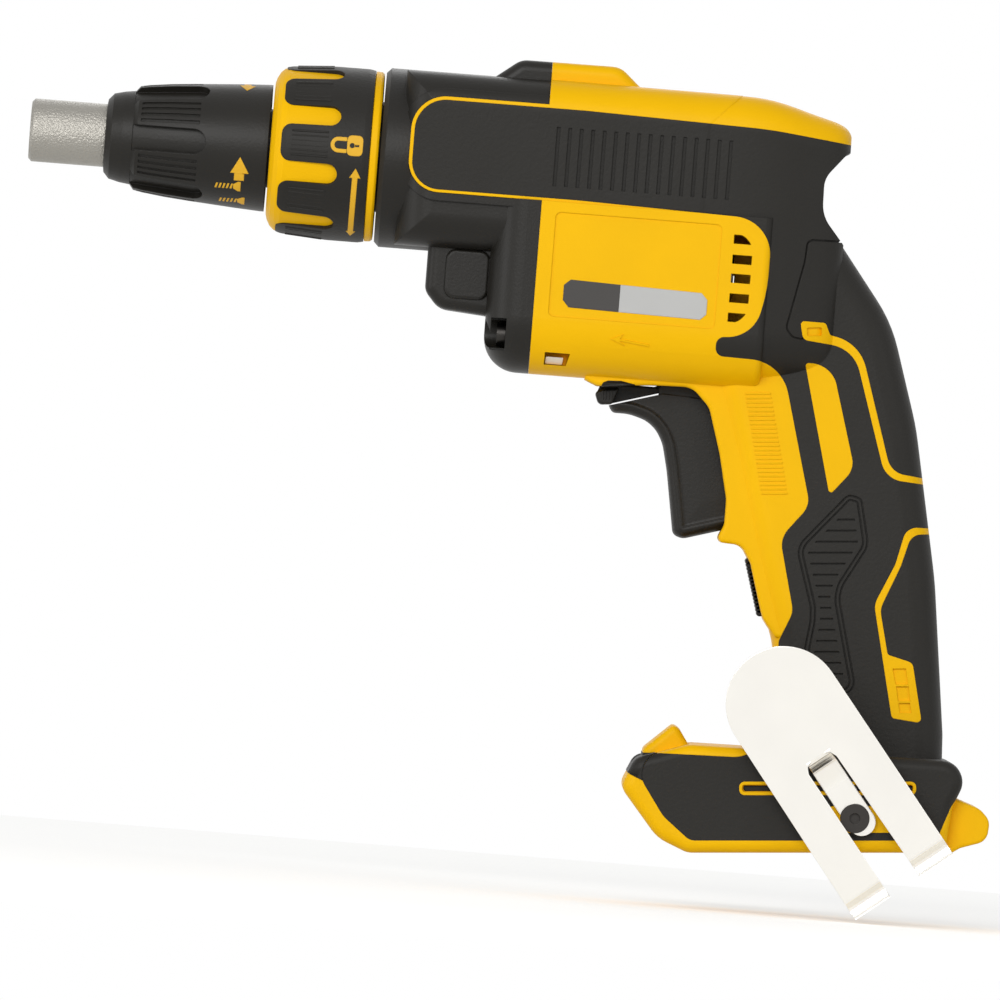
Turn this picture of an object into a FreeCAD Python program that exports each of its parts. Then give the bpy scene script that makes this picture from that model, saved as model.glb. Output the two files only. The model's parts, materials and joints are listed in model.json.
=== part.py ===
import FreeCAD, Part
import math
import os

V = FreeCAD.Vector

# Side view: outline points are shares of this length
outline_size = 200.0

# Fits and walls
overrun = 5.0
running_fit = 0.05
slide_fit = 0.15
seat_gap = 0.3
shell_wall = 2.6
over_thickness = 1.2
rib_thickness = 2.0
half_seam = 0.05
edge_share = 0.46

# Nose tube and its keys
tube_radius = 9.15
tube_bore_radius = 6.6
tube_length = 56.0
tube_edge = 0.9
key_start = 47.0
key_length = 6.0
key_width = 2.8
key_radius = 11.1
depth_travel = 3.0

# Bit holder and its hexagons, across the flats
hex_flats = 6.35
hex_socket_flats = 6.45
holder_radius = 5.5
holder_start = 13.0
holder_length = 57.0
holder_edge = 0.8
socket_depth = 10.0
shank_length = 22.0
magnet_gap = 1.0

# Spindle and dog clutch
spindle_start = 72.0
chuck_radius = 8.0
flange_start = 110.0
flange_length = 4.0
flange_radius = 15.0
spindle_end = 146.0
spindle_tail_radius = 5.0
dog_count = 3
dog_inner_radius = 10.0
dog_outer_radius = 14.8
dog_angle = 44.0
spindle_dog = 3.0
gear_dog = 4.0
spring_radius = 7.6
spring_wire_radius = 0.6
spring_turns = 4

# Spur gear pair
gear_module = 0.85
gear_teeth = 51
pinion_teeth = 12
pressure_angle = 25.0
backlash = 0.08
gear_start = 122.0
gear_width = 10.0
pinion_overhang = 0.5
web_thickness = 5.0
rim_inner_radius = 18.6
axis_drop = gear_module * (gear_teeth + pinion_teeth) / 2

# Gear case
case_radius = 26.0
case_start = 101.8
case_end = 149.4
case_edge = 1.4
neck_radius = 16.0
neck_start = 82.0
bush_radius = 11.0
bush_start = 84.0
bush_length = 20.0
case_front_wall = 4.2
cavity_radius = 23.4
pinion_box_half = 18.0
pinion_box_edge = 3.0
pinion_pad_half = 19.0
pinion_pad_edge = 1.0
pinion_cavity_start = 120.5
pinion_cavity_radius = 13.2
recess_start = 132.4
ring_groove_start = 89.0
ring_groove_width = 1.7
ring_wire_radius = 0.75
plate_start = 137.0
plate_length = 6.0
plate_ledge = 0.9

# Bearings
rear_bush_radius = 8.0
thrust_inner_radius = 6.2
thrust_outer_radius = 11.5
motor_bearing_radius = 8.0
motor_bearing_length = 5.0
rear_bearing_start = 201.0
air_hole_count = 8
air_hole_radius = 4.0
air_hole_reach = 16.0

# Motor
pod_half = 29.0
pod_end = 216.5
pod_top = -9.2
pod_bottom = -59.2
pod_belly_radius = 16.0
pod_front_edge = 10.0
pod_edge = 2.0
shaft_radius = 2.5
rotor_radius = 12.6
rotor_start = 155.0
rotor_length = 28.0
magnet_thickness = 2.4
magnet_count = 4
magnet_angle = 78.0
air_gap = 0.5
stator_radius = 24.0
stator_back = 4.0
stator_tooth = 6.0
stator_slots = 6
shoe_gap_angle = 8.0
insulator_end = 4.0
insulator_tab_half = 11.0
winding_length = 3.2
coil_share = 0.6
fan_start = 192.0
fan_length = 7.0
fan_radius = 23.0
fan_blade = 1.4
fan_blades = 11
fan_plate = 1.6
fan_hub_radius = 7.0
board_thickness = 1.4
board_radius = 22.0
board_bore = 9.0

# Lock collar
collar_start = 69.9
collar_end = 100.9
collar_wall = 3.0
collar_radius = 22.4
finger_radius = 24.0
finger_count = 9
finger_width = 6.0
finger_share = 0.568
finger_reach = collar_start + finger_share * (collar_end - collar_start)
finger_turn = 15.5
grip_start = 72.8
grip_end = 98.8
grip_front_radius = 24.1
grip_back_radius = 25.2
rim_radius = 24.7

# Nose sleeve and cone
sleeve_start = 40.0
sleeve_radius = 11.4
sleeve_flange_start = 76.0
sleeve_flange_end = 100.6
sleeve_step = 3.0
sleeve_wall = 2.3
snap_start = 64.4
snap_width = 1.2
snap_depth = 0.8
snap_radius = 13.2
cone_start = 21.8
cone_end = 69.2
cone_bore_end = 39.0
cone_relief_radius = 13.8
flute_count = 6
flute_width = 7.4
flute_reach = 47.5
land_rib_count = 4
land_rib_width = 0.9
land_rib_pitch = 2.0
land_rib_start = 32.0
land_rib_end = 49.0
land_rib_depth = 0.5

# Upper body and hump
upper_half = 28.4
upper_edge = 10.0
hump_half = 17.0
hump_edge = 3.0
case_sink = 1.4
border_sink = 0.4
border_width = 2.4
panel_rib_count = 16
panel_rib_start = 152.2
panel_rib_pitch = 3.33
panel_rib_width = 1.0
panel_rib_top = 12.2
panel_rib_bottom = -4.8
groove_width = 0.5
groove_gap = 1.2
groove_depth = 0.6
label_depth = 0.3
pad_half = 8.0

# Handle, surround and foot
handle_half = 19.5
handle_edge = 8.0
surround_half = 17.6
surround_edge = 1.2
foot_half = 37.0
foot_edge = 3.0
heel_half = 30.0
heel_edge = 1.0
post_half = 24.0
post_edge = 2.0
foot_slot_rim = 0.9
foot_slot_depth = 2.0
grip_rib_count = 15
grip_rib_start = -94.0
grip_rib_pitch = 3.2
grip_rib_inset = 3.0

# Trigger and lever
trigger_half = 8.5
trigger_edge = 1.0
trigger_side_gap = 0.5
trigger_cheek = 1.9
stem_radius = 2.5
stem_length = 22.0
trigger_travel = 7.0
trigger_rise = 19.0
lever_half = 4.0
lever_knob_half = 10.5
lever_axis_lean = 18.0
lever_disc_radius = 4.2
lever_disc_half = 1.5
lever_edge = 0.8

# Screws
screw_radius = 1.9
screw_head_radius = 3.3
screw_head_length = 2.6
screw_recess_radius = 4.0
screw_socket_radius = 1.5
case_screw_start = 138.5
case_screw_length = 22.0
case_screw_seat = 142.0
case_boss_radius = 3.3
upper_screw_height = 26.4
upper_screw_side = 9.5
lower_screw_drop = 48.6
lower_screw_side = 19.5
screw_pocket_length = 4.4
screw_pocket_half = 4.6
boss_radius = 3.6
boss_screw_radius = 1.5
boss_head_seat = 11.0
boss_screw_length = 20.0
vent_half = 1.3
vent_depth = 20.0
cradle_length = 3.4

# Battery bay and terminal block
bay_half = 28.0
bay_depth = 13.0
bay_length = 70.0
rail_reach = 4.0
rail_height = 3.6
block_half = 21.0
block_length = 26.0
block_height = 9.0
blade_count = 4
blade_pitch = 9.6
blade_thickness = 0.8
blade_length = 16.0
blade_height = 6.5
foot_tilt = 4.5

# Belt clip
clip_thickness = 1.8
clip_offset = 8.6
clip_tilt = 51.8
clip_tongue_half = 4.0
clip_tongue_shift = 1.1
clip_hole_radius = 2.2
clip_thread_radius = 1.65
clip_boss_depth = 8.0

# Outlines, as (x, z, corner radius) shares of outline_size
barrel_shares = [
    (0.500, 0.131, 0.0), (1.025, 0.12825, 0.0), (1.025, -0.1483, 0.0), (0.500, -0.128, 0.0),
]
web_shares = [
    (1.230, 0.061, 0.0), (1.184, 0.0575, 0.012), (1.152, 0.018, 0.035), (1.153, -0.036, 0.05),
    (1.230, -0.126, 0.0),
]
pinion_box_shares = [
    (0.5885, -0.080, 0.0), (0.5885, -0.188, 0.020), (0.610, -0.2125, 0.030), (0.700, -0.2195, 0.0),
    (0.700, -0.080, 0.0),
]
pinion_pad_shares = [
    (0.6155, -0.125, 0.015), (0.680, -0.125, 0.015), (0.680, -0.1965, 0.015), (0.6155, -0.1965, 0.015),
]
# Rear body sections, as (x, top, bottom, half width, upper and lower corner radius) shares of outline_size
rear_section_shares = [
    (0.980, 0.1279, -0.290, 0.1415, 0.050, 0.080), (1.025, 0.1277, -0.290, 0.1414, 0.050, 0.080),
    (1.070, 0.1245, -0.288, 0.139, 0.050, 0.080), (1.120, 0.1120, -0.284, 0.130, 0.048, 0.080),
    (1.158, 0.1020, -0.280, 0.116, 0.044, 0.075), (1.180, 0.0920, -0.275, 0.100, 0.038, 0.065),
    (1.187, 0.0810, -0.272, 0.086, 0.030, 0.055),
]
hump_shares = [
    (0.640, 0.108, 0.0), (0.702, 0.1555, 0.03), (0.846, 0.156, 0.03), (0.900, 0.108, 0.0),
]
case_side_shares = [
    (0.539, 0.128, 0.0), (0.800, 0.128, 0.0), (0.800, -0.125, 0.0), (0.539, -0.125, 0.0),
]
hump_pad_shares = [
    (0.768, 0.160, 0.0), (0.836, 0.160, 0.0), (0.836, 0.151, 0.0), (0.768, 0.151, 0.0),
]
grip_pad_shares = [
    (1.2217, -0.4339, 0.012), (1.2424, -0.4381, 0.012), (1.2580, -0.5066, 0.03), (1.2250, -0.5674, 0.03),
    (1.2221, -0.5866, 0.04), (1.2637, -0.7447, 0.02), (1.1720, -0.6950, 0.02), (1.1810, -0.6220, 0.04),
    (1.1800, -0.6016, 0.04), (1.1526, -0.5164, 0.03),
]
rear_panel_shares = [
    (1.1336, -0.0714, 0.01), (1.1317, -0.1035, 0.05), (1.1119, -0.2030, 0.014), (1.1229, -0.2159, 0.014),
    (1.1368, -0.2173, 0.0), (1.1550, -0.2080, 0.0), (1.2180, -0.2195, 0.04), (1.2775, -0.4030, 0.03),
    (1.3700, -0.4100, 0.0), (1.3700, -0.0646, 0.0),
]
stripe_window_shares = [
    [(1.1436, -0.1991, 0.002), (1.1648, -0.1972, 0.002), (1.1658, -0.2089, 0.002), (1.1447, -0.2108, 0.002)],
    [(1.3058, -0.6807, 0.0), (1.3250, -0.6791, 0.0), (1.3299, -0.7017, 0.0), (1.3119, -0.7031, 0.0)],
    [(1.3128, -0.7059, 0.0), (1.3308, -0.7045, 0.0), (1.3349, -0.7254, 0.0), (1.3174, -0.7268, 0.0)],
    [(1.3181, -0.7296, 0.0), (1.3344, -0.7283, 0.0), (1.3379, -0.7425, 0.0), (1.3211, -0.7438, 0.0)],
]
foot_slot_shares = [
    (1.0964, -0.8597, 0.008), (1.3508, -0.8397, 0.008), (1.3524, -0.8592, 0.008), (1.0980, -0.8792, 0.008),
]
clip_seat_shares = [
    (1.2250, -0.8850, 0.010), (1.3250, -0.8770, 0.010), (1.3275, -0.9155, 0.010), (1.2275, -0.9235, 0.010),
]
label_shares = [
    (0.769, -0.0610, 0.008), (1.010, -0.0610, 0.008), (1.010, -0.2120, 0.008), (0.769, -0.2120, 0.008),
]
vent_field_shares = [
    (1.020, -0.0715, 0.0), (1.0565, -0.0715, 0.028), (1.0565, -0.2015, 0.028), (1.020, -0.2015, 0.0),
]
handle_shares = [
    (1.030, -0.030, 0.0), (1.155, -0.037, 0.05), (1.266, -0.182, 0.22), (1.313, -0.330, 0.40),
    (1.3575, -0.550, 0.60), (1.386, -0.770, 0.1), (1.392, -0.880, 0.0), (1.165, -0.880, 0.0),
    (1.130, -0.655, 0.10), (1.090, -0.540, 0.10), (1.050, -0.400, 0.15), (1.010, -0.280, 0.06),
]
surround_shares = [
    (0.829, -0.270, 0.0), (0.829, -0.2985, 0.0), (0.848, -0.3065, 0.01), (0.924, -0.2992, 0.02),
    (0.985, -0.2975, 0.03), (1.012, -0.325, 0.03),
    (1.032, -0.390, 0.05), (1.047, -0.455, 0.05), (1.047, -0.492, 0.02), (1.036, -0.518, 0.008),
    (1.074, -0.520, 0.02), (1.089, -0.545, 0.03), (1.112, -0.622, 0.05), (1.137, -0.655, 0.01),
    (1.190, -0.600, 0.0), (1.160, -0.270, 0.0),
]
surround_room_shares = [
    (0.860, -0.260, 0.0), (0.860, -0.284, 0.0), (0.980, -0.284, 0.0), (1.028, -0.400, 0.0),
    (1.062, -0.460, 0.0), (1.062, -0.505, 0.0), (1.082, -0.530, 0.0), (1.126, -0.630, 0.0),
    (1.180, -0.600, 0.0), (1.150, -0.260, 0.0),
]
foot_shares = [
    (0.945, -0.838, 0.02), (1.020, -0.812, 0.05), (1.405, -0.806, 0.03), (1.421, -0.836, 0.03),
    (1.406, -0.872, 0.03), (1.400, -0.939, 0.0), (1.030, -0.968, 0.03), (0.985, -0.950, 0.06),
    (0.926, -0.880, 0.02),
]
heel_shares = [
    (1.380, -0.861, 0.0), (1.413, -0.861, 0.02), (1.447, -0.873, 0.02), (1.462, -0.888, 0.02),
    (1.460, -0.918, 0.02), (1.422, -0.931, 0.02), (1.412, -0.938, 0.0), (1.380, -0.9405, 0.0),
]
post_shares = [
    (0.955, -0.850, 0.0), (0.955, -0.824, 0.01), (0.996, -0.786, 0.006), (1.005, -0.791, 0.006),
    (1.025, -0.820, 0.0), (1.025, -0.850, 0.0),
]
tongue_shares = [
    (0.551, 0.093, 0.05), (0.800, 0.093, 0.0), (0.800, -0.046, 0.0), (0.551, -0.046, 0.045),
]
soft_shares = [
    (0.556, 0.088, 0.045), (0.800, 0.088, 0.3), (1.068, 0.0815, 0.6), (1.186, 0.069, 0.0),
    (1.300, 0.050, 0.0), (1.450, -0.400, 0.0), (1.480, -0.780, 0.0), (1.424, -0.838, 0.01),
    (1.404, -0.872, 0.03), (1.390, -0.912, 0.03), (1.390, -0.922, 0.01), (1.032, -0.950, 0.02),
    (0.991, -0.918, 0.05), (0.950, -0.860, 0.03), (0.968, -0.828, 0.02), (1.120, -0.824, 0.05),
    (1.150, -0.720, 0.05), (1.138, -0.655, 0.02), (1.156, -0.610, 0.03), (1.129, -0.505, 0.035),
    (1.168, -0.455, 0.03), (1.112, -0.252, 0.06), (1.014, -0.250, 0.012), (1.014, -0.222, 0.012),
    (1.066, -0.222, 0.05), (1.082, -0.150, 0.25), (1.082, -0.0485, 0.055), (0.800, -0.042, 0.3),
    (0.556, -0.042, 0.04),
]
insert_shares = [
    (1.145, -0.250, 0.004), (1.184, -0.248, 0.04), (1.228, -0.397, 0.03), (1.195, -0.438, 0.004),
]
stripe_upper_shares = [
    (1.133, -0.190, 0.005), (1.170, -0.190, 0.006), (1.178, -0.207, 0.004), (1.222, -0.215, 0.06),
    (1.281, -0.398, 0.03), (1.360, -0.406, 0.0), (1.360, -0.414, 0.0), (1.274, -0.408, 0.035),
    (1.214, -0.224, 0.05), (1.139, -0.217, 0.01),
]
stripe_lower_shares = [
    (1.360, -0.474, 0.0), (1.310, -0.475, 0.02), (1.298, -0.530, 0.05), (1.272, -0.590, 0.03),
    (1.310, -0.752, 0.006), (1.354, -0.756, 0.006), (1.334, -0.670, 0.01), (1.297, -0.661, 0.006),
    (1.281, -0.596, 0.03), (1.306, -0.532, 0.05), (1.318, -0.485, 0.02), (1.360, -0.482, 0.0),
]
trigger_shares = [
    (0.868, -0.333, 0.006), (0.878, -0.343, 0.008), (0.910, -0.343, 0.03), (0.949, -0.378, 0.06),
    (0.962, -0.450, 0.2), (0.974, -0.514, 0.012), (0.990, -0.517, 0.008), (1.051, -0.499, 0.010),
    (1.050, -0.465, 0.03), (1.040, -0.400, 0.03), (1.010, -0.315, 0.02), (0.940, -0.313, 0.08),
]
trigger_cheek_shares = [
    (0.9475, -0.2980, 0.008), (0.9475, -0.3200, 0.0), (1.000, -0.3500, 0.0), (1.030, -0.3500, 0.0),
    (1.022, -0.3150, 0.02), (0.990, -0.2945, 0.02),
]
lever_shares = [
    (0.846, -0.3145, 0.006), (0.853, -0.332, 0.008), (0.870, -0.330, 0.004), (0.944, -0.308, 0.0),
    (1.030, -0.280, 0.0), (1.024, -0.262, 0.0), (0.940, -0.3035, 0.0), (0.872, -0.3035, 0.006),
]
knob_shares = [
    (0.845, -0.3145, 0.006), (0.852, -0.333, 0.008), (0.872, -0.331, 0.006), (0.880, -0.3075, 0.0),
    (0.862, -0.3090, 0.006),
]
trigger_room_shares = [
    (0.800, -0.3000, 0.0), (0.930, -0.3000, 0.0), (1.030, -0.255, 0.0), (1.150, -0.255, 0.0),
    (1.150, -0.495, 0.0), (1.040, -0.5125, 0.0), (0.950, -0.535, 0.0), (0.800, -0.420, 0.0),
]
foot_room_shares = [
    (1.010, -0.832, 0.0), (1.385, -0.826, 0.0), (1.395, -0.850, 0.0), (1.010, -0.866, 0.0),
]
switch_shares = [
    (1.080, -0.300, 0.0), (1.160, -0.290, 0.0), (1.180, -0.490, 0.0), (1.095, -0.490, 0.0),
]
module_shares = [
    (1.170, -0.520, 0.0), (1.290, -0.520, 0.0), (1.320, -0.750, 0.0), (1.205, -0.750, 0.0),
]
switch_half = 9.0
module_half = handle_half - shell_wall - slide_fit
pod_start_share = 0.679
vent_shares = [(1.028, -0.080), (1.028, -0.109), (1.028, -0.1365), (1.028, -0.165), (1.028, -0.193)]
vent_width_share = 0.028
window_shares = [(0.769, -0.264, 0.0), (0.805, -0.264, 0.0), (0.800, -0.2815, 0.0), (0.7685, -0.2815, 0.0)]
clip_anchor_shares = (1.2665, -0.8995)
clip_shares = [
    (-0.2725, -0.035, 0.05), (-0.240, -0.0725, 0.06), (0.090, -0.0805, 0.0), (0.090, 0.0865, 0.0),
    (-0.190, 0.0865, 0.10), (-0.2725, 0.050, 0.06),
]
clip_slot_shares = [
    (-0.1035, -0.020, 0.02), (0.200, -0.020, 0.0), (0.200, 0.031, 0.0), (-0.1035, 0.027, 0.02),
]
# Leg ends and tongue of the clip, as (along, depth towards the foot, bend radius) shares of outline_size
clip_toe_shares = [(0.080, 0.0, 0.0), (0.092, 0.0, 0.010), (0.107, 0.013, 0.012), (0.1215, 0.004, 0.0)]
clip_drop_share = (clip_offset - clip_thickness) / outline_size
clip_tongue_shares = [
    (-0.140, 0.0, 0.0), (-0.1035, 0.0, 0.02), (-0.060, clip_drop_share, 0.02), (0.012, clip_drop_share, 0.0),
]
foot_base_shares = (1.030, -0.968)
lever_pivot_shares = (1.000, -0.280)
stem_shares = (1.020, -0.400)
boss_shares = [
    (0.860, 0.085), (1.120, 0.060), (1.130, -0.110), (1.225, -0.330), (1.330, -0.620),
    (1.010, -0.850), (1.385, -0.850),
]


def at(x, y, z):
    return V(x, y, z)


def side(x_share, z_share):
    return V(x_share * outline_size, 0, z_share * outline_size)


def outline(shares, inset=0):
    """Closed side-view wire with rounded corners, moved inwards by inset."""
    pts = [(side(x, z), r * outline_size) for x, z, r in shares]
    count = len(pts)
    area = 0
    for i in range(count):
        a, b = pts[i][0], pts[(i + 1) % count][0]
        area += a.x * b.z - b.x * a.z
    turn = 1 if area > 0 else -1
    corners = []
    for i in range(count):
        before, here, after = pts[i - 1][0], pts[i][0], pts[(i + 1) % count][0]
        u = (here - before).normalize()
        w = (after - here).normalize()
        normal_u = V(-u.z, 0, u.x) * turn
        normal_w = V(-w.z, 0, w.x) * turn
        bisector = normal_u + normal_w
        shift = inset * 2 / bisector.Length
        corner = here + bisector.normalize() * shift
        convex = (u.x * w.z - u.z * w.x) * turn > 0
        radius = pts[i][1]
        if radius > 0:
            radius = max(radius - inset, 0) if convex else radius + inset
        corners.append((corner, radius))
    edges = []
    starts = []
    ends = []
    for i in range(count):
        before, here, after = corners[i - 1][0], corners[i][0], corners[(i + 1) % count][0]
        u = (here - before).normalize()
        w = (after - here).normalize()
        cosine = max(-1, min(1, u.dot(w)))
        half = math.acos(cosine) / 2
        cut = corners[i][1] * math.tan(half)
        starts.append(here - u * cut)
        ends.append(here + w * cut)
        if cut > 0:
            inward = (w - u).normalize()
            reach = corners[i][1] / math.cos(half) - corners[i][1]
            edges.append(Part.Arc(starts[-1], here + inward * reach, ends[-1]).toShape())
        else:
            edges.append(None)
    chain = []
    for i in range(count):
        if edges[i]:
            chain.append(edges[i])
        following = starts[(i + 1) % count]
        if (following - ends[i]).Length > running_fit / 10:
            chain.append(Part.LineSegment(ends[i], following).toShape())
    return Part.Wire(Part.__sortEdges__(chain))


def slab(shares, half_width, edge=0):
    """Side outline carried to both sides of the middle plane, with rounded side edges."""
    face = Part.Face(outline(shares))
    face.translate(at(0, -half_width, 0))
    solid = face.extrude(at(0, half_width * 2, 0))
    if edge > 0:
        rims = [e for e in solid.Edges if abs(abs(e.CenterOfMass.y) - half_width) < running_fit / 10]
        solid = solid.makeFillet(edge, rims)
    return solid


def core(shares, half_width, edge, depth):
    """Square-edged solid that lies at least depth inside the slab of the same outline."""
    inset = edge * edge_share + depth
    face = Part.Face(outline(shares, inset))
    face.translate(at(0, depth - half_width, 0))
    return face.extrude(at(0, (half_width - depth) * 2, 0))


def strip(shares, near, far, inset=0):
    """Side outline carried between two widths on the left side."""
    face = Part.Face(outline(shares, inset))
    face.translate(at(0, -far, 0))
    return face.extrude(at(0, far - near, 0))


def groove(shares, near, far, inset=0):
    """Narrow band that follows a side outline, carried like a strip."""
    return strip(shares, near, far, inset).cut(strip(shares, near, far, inset + groove_width))


def bent_sheet(shares, low, high):
    """Clip sheet bent along its outer face, between two places across the clip."""
    inner_side = [(along, depth + clip_thickness / outline_size, bend) for along, depth, bend in shares]
    face = Part.Face(outline(shares + inner_side[::-1]))
    face.rotate(at(0, 0, 0), at(1, 0, 0), -90)
    face.translate(at(0, -foot_half - clip_offset, low))
    return face.extrude(at(0, 0, high - low))


def section(x, top, bottom, half, upper, lower):
    """Rectangle across the barrel, with rounded upper and lower corners."""
    corners = [(-half, top, upper), (half, top, upper), (half, bottom, lower), (-half, bottom, lower)]
    wire = outline([[value / outline_size for value in corner] for corner in corners])
    wire.rotate(at(0, 0, 0), at(0, 0, 1), 90)
    wire.translate(at(x, 0, 0))
    return wire


def rear_body(depth=0):
    """Loft that narrows behind the barrel, hollowed for the web of the thumb, depth inside its surface."""
    wires = []
    for values in rear_section_shares:
        x, top, bottom, half, upper, lower = [value * outline_size for value in values]
        wires.append(section(x, top - depth, bottom + depth, half - depth, upper - depth, lower - depth))
    web = Part.Face(outline(web_shares, -depth))
    web.translate(at(0, -foot_half, 0))
    return Part.makeLoft(wires, True, depth > 0).cut(web.extrude(at(0, foot_half * 2, 0)))


def pod_body(depth=0):
    """Motor pod with flat sides and a rounded belly, depth inside its surface."""
    start = pod_start_share * outline_size
    wire = section(start, pod_top - depth, pod_bottom + depth, pod_half - depth, 0, pod_belly_radius - depth)
    pod = Part.Face(wire).extrude(at(pod_end - depth - start, 0, 0))
    if depth > 0:
        return pod
    below = [e for e in pod.Edges if e.CenterOfMass.z < pod_top - running_fit]
    front = [e for e in below if abs(e.CenterOfMass.x - start) < running_fit]
    back = [e for e in below if abs(e.CenterOfMass.x - pod_end) < running_fit]
    return pod.makeFillet(pod_front_edge, front).makeFillet(pod_edge, back)


def rod(radius, start, end, drop=0, aside=0):
    """Cylinder along the barrel."""
    return Part.makeCylinder(radius, end - start, at(start, aside, -drop), at(1, 0, 0))


def tube(outer, inner, start, end, drop=0):
    return rod(outer, start, end, drop).cut(rod(inner, start - overrun, end + overrun, drop))


def turned(profile, drop=0):
    """Solid turned about the barrel axis from (x, radius) points."""
    pts = [at(x, 0, r - drop) for x, r in profile]
    face = Part.Face(Part.makePolygon(pts + [pts[0]]))
    return face.revolve(at(0, 0, -drop), at(1, 0, 0), 360)


def pin(radius, x, z, y_from, y_to):
    return Part.makeCylinder(radius, y_to - y_from, at(x, y_from, z), at(0, 1, 0))


def block(x_from, x_to, y_from, y_to, z_from, z_to):
    return Part.makeBox(x_to - x_from, y_to - y_from, z_to - z_from, at(x_from, y_from, z_from))


def hexagon(flats, start, end):
    """Six-sided bar along the barrel."""
    corner = flats / math.sqrt(3)
    pts = []
    for i in range(7):
        a = math.radians(i * 60)
        pts.append(at(start, corner * math.cos(a), corner * math.sin(a)))
    return Part.Face(Part.makePolygon(pts)).extrude(at(end - start, 0, 0))


def spun(shape, angle, drop=0):
    """Copy turned about the barrel axis or the motor axis."""
    copy = shape.copy()
    copy.rotate(at(0, 0, -drop), at(1, 0, 0), angle)
    return copy


def mirrored(shape):
    return shape.mirror(at(0, 0, 0), at(0, 1, 0))


def joined(shapes):
    whole = shapes[0]
    if len(shapes) > 1:
        whole = whole.multiFuse(shapes[1:])
    return whole.removeSplitter()


def save(shape, node):
    shape.exportStep("parts/" + node + ".step")


def spur(teeth, start, width, phase, drop):
    """Involute spur gear with thinned teeth."""
    pitch = gear_module * teeth / 2
    base = pitch * math.cos(math.radians(pressure_angle))
    tip = pitch + gear_module
    root = pitch - gear_module * 1.25
    roll = math.tan(math.radians(pressure_angle)) - math.radians(pressure_angle)
    half = math.pi / teeth / 2 - backlash / pitch / 2
    flank = []
    for i in range(5):
        r = max(base, root) + (tip - max(base, root)) * i / 4
        a = math.acos(min(1, base / r))
        flank.append((r, half + roll - (math.tan(a) - a)))
    pts = []
    for tooth in range(teeth):
        middle = phase + 2 * math.pi * tooth / teeth
        polar = [(root, middle - flank[0][1])]
        polar += [(r, middle - a) for r, a in flank]
        polar += [(r, middle + a) for r, a in reversed(flank)]
        polar += [(root, middle + flank[0][1])]
        if base < root:
            polar = polar[1:-1]
        for r, a in polar:
            pts.append(at(start, r * math.sin(a), r * math.cos(a) - drop))
    return Part.Face(Part.makePolygon(pts + [pts[0]])).extrude(at(width, 0, 0))


def sector(inner, outer, start, end, middle, angle, drop=0):
    """Part of a ring along the barrel, middle and angle in degrees."""
    low = math.radians(middle - angle / 2)
    high = math.radians(middle + angle / 2)
    mid = math.radians(middle)

    def spot(r, a):
        return at(start, r * math.sin(a), r * math.cos(a) - drop)

    edges = [
        Part.Arc(spot(outer, low), spot(outer, mid), spot(outer, high)).toShape(),
        Part.LineSegment(spot(outer, high), spot(inner, high)).toShape(),
        Part.Arc(spot(inner, high), spot(inner, mid), spot(inner, low)).toShape(),
        Part.LineSegment(spot(inner, low), spot(outer, low)).toShape(),
    ]
    return Part.Face(Part.Wire(edges)).extrude(at(end - start, 0, 0))


os.makedirs("parts", exist_ok=True)

# Nose tube with two keys
bore_land = holder_start - magnet_gap
nose_tube = turned([
    (0, tube_bore_radius), (0, tube_radius - tube_edge), (tube_edge, tube_radius),
    (tube_length, tube_radius), (tube_length, tube_bore_radius + slide_fit * 2),
    (bore_land, tube_bore_radius + slide_fit * 2), (bore_land, tube_bore_radius),
])
key_bar = block(key_start, key_start + key_length, -key_width / 2, key_width / 2, -key_radius, key_radius)
keys = key_bar.common(tube(key_radius, tube_radius - tube_edge, key_start, key_start + key_length))
nose_tube = joined([nose_tube, keys])
save(nose_tube, "nose_tube")

# Nose sleeve that the tube slides in
sleeve_bore = tube_radius + running_fit
socket_bore = neck_radius + running_fit
socket_radius = socket_bore + sleeve_wall
nose_sleeve = turned([
    (sleeve_start, sleeve_bore), (sleeve_start, sleeve_radius), (sleeve_flange_start, sleeve_radius),
    (sleeve_flange_start, socket_radius), (sleeve_flange_end, socket_radius),
    (sleeve_flange_end, socket_bore), (sleeve_flange_start + sleeve_step, socket_bore),
    (sleeve_flange_start + sleeve_step, sleeve_bore),
])
key_room = depth_travel + slide_fit * 2
slot_half = key_width / 2 + slide_fit
key_slots = block(
    key_start - key_room, key_start + key_length + key_room, -slot_half, slot_half,
    -sleeve_radius - overrun, sleeve_radius + overrun,
)
snap_groove = tube(
    sleeve_radius + overrun, sleeve_radius - snap_depth, snap_start - slide_fit,
    snap_start + snap_width + slide_fit,
)
nose_sleeve = nose_sleeve.cut(key_slots).cut(snap_groove)
save(nose_sleeve, "nose_sleeve")

# Snap ring that holds the cone on the sleeve
snap_ring = tube(snap_radius, sleeve_radius - snap_depth + running_fit, snap_start, snap_start + snap_width)
snap_gap = block(
    snap_start - overrun, snap_start + snap_width + overrun, -key_width, key_width, 0, snap_radius + overrun,
)
save(snap_ring.cut(snap_gap), "cone_snap_ring")

# Depth cone with six flutes
cone_radius_shares = [
    (0.110, 0.053), (0.118, 0.062), (0.134, 0.066), (0.149, 0.068), (0.155, 0.0755), (0.168, 0.078),
    (0.200, 0.082), (0.235, 0.085), (0.270, 0.0875), (0.305, 0.090), (0.340, 0.092),
]
cone_bore = tube_radius + running_fit
cone_hollow = sleeve_radius + running_fit
cone_points = [(cone_start, cone_bore)]
cone_points += [(x * outline_size, r * outline_size) for x, r in cone_radius_shares]
cone_points += [
    (cone_end, cone_points[-1][1]), (cone_end, cone_relief_radius),
    (snap_start - slide_fit, cone_relief_radius), (snap_start - slide_fit, cone_hollow),
    (cone_bore_end, cone_hollow), (cone_bore_end, cone_bore),
]
nose_cone = turned(cone_points)
flute_floor_shares = [(0.120, 0.0), (0.120, 0.066), (0.149, 0.067), (0.270, 0.078), (0.270, 0.0)]
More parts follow.
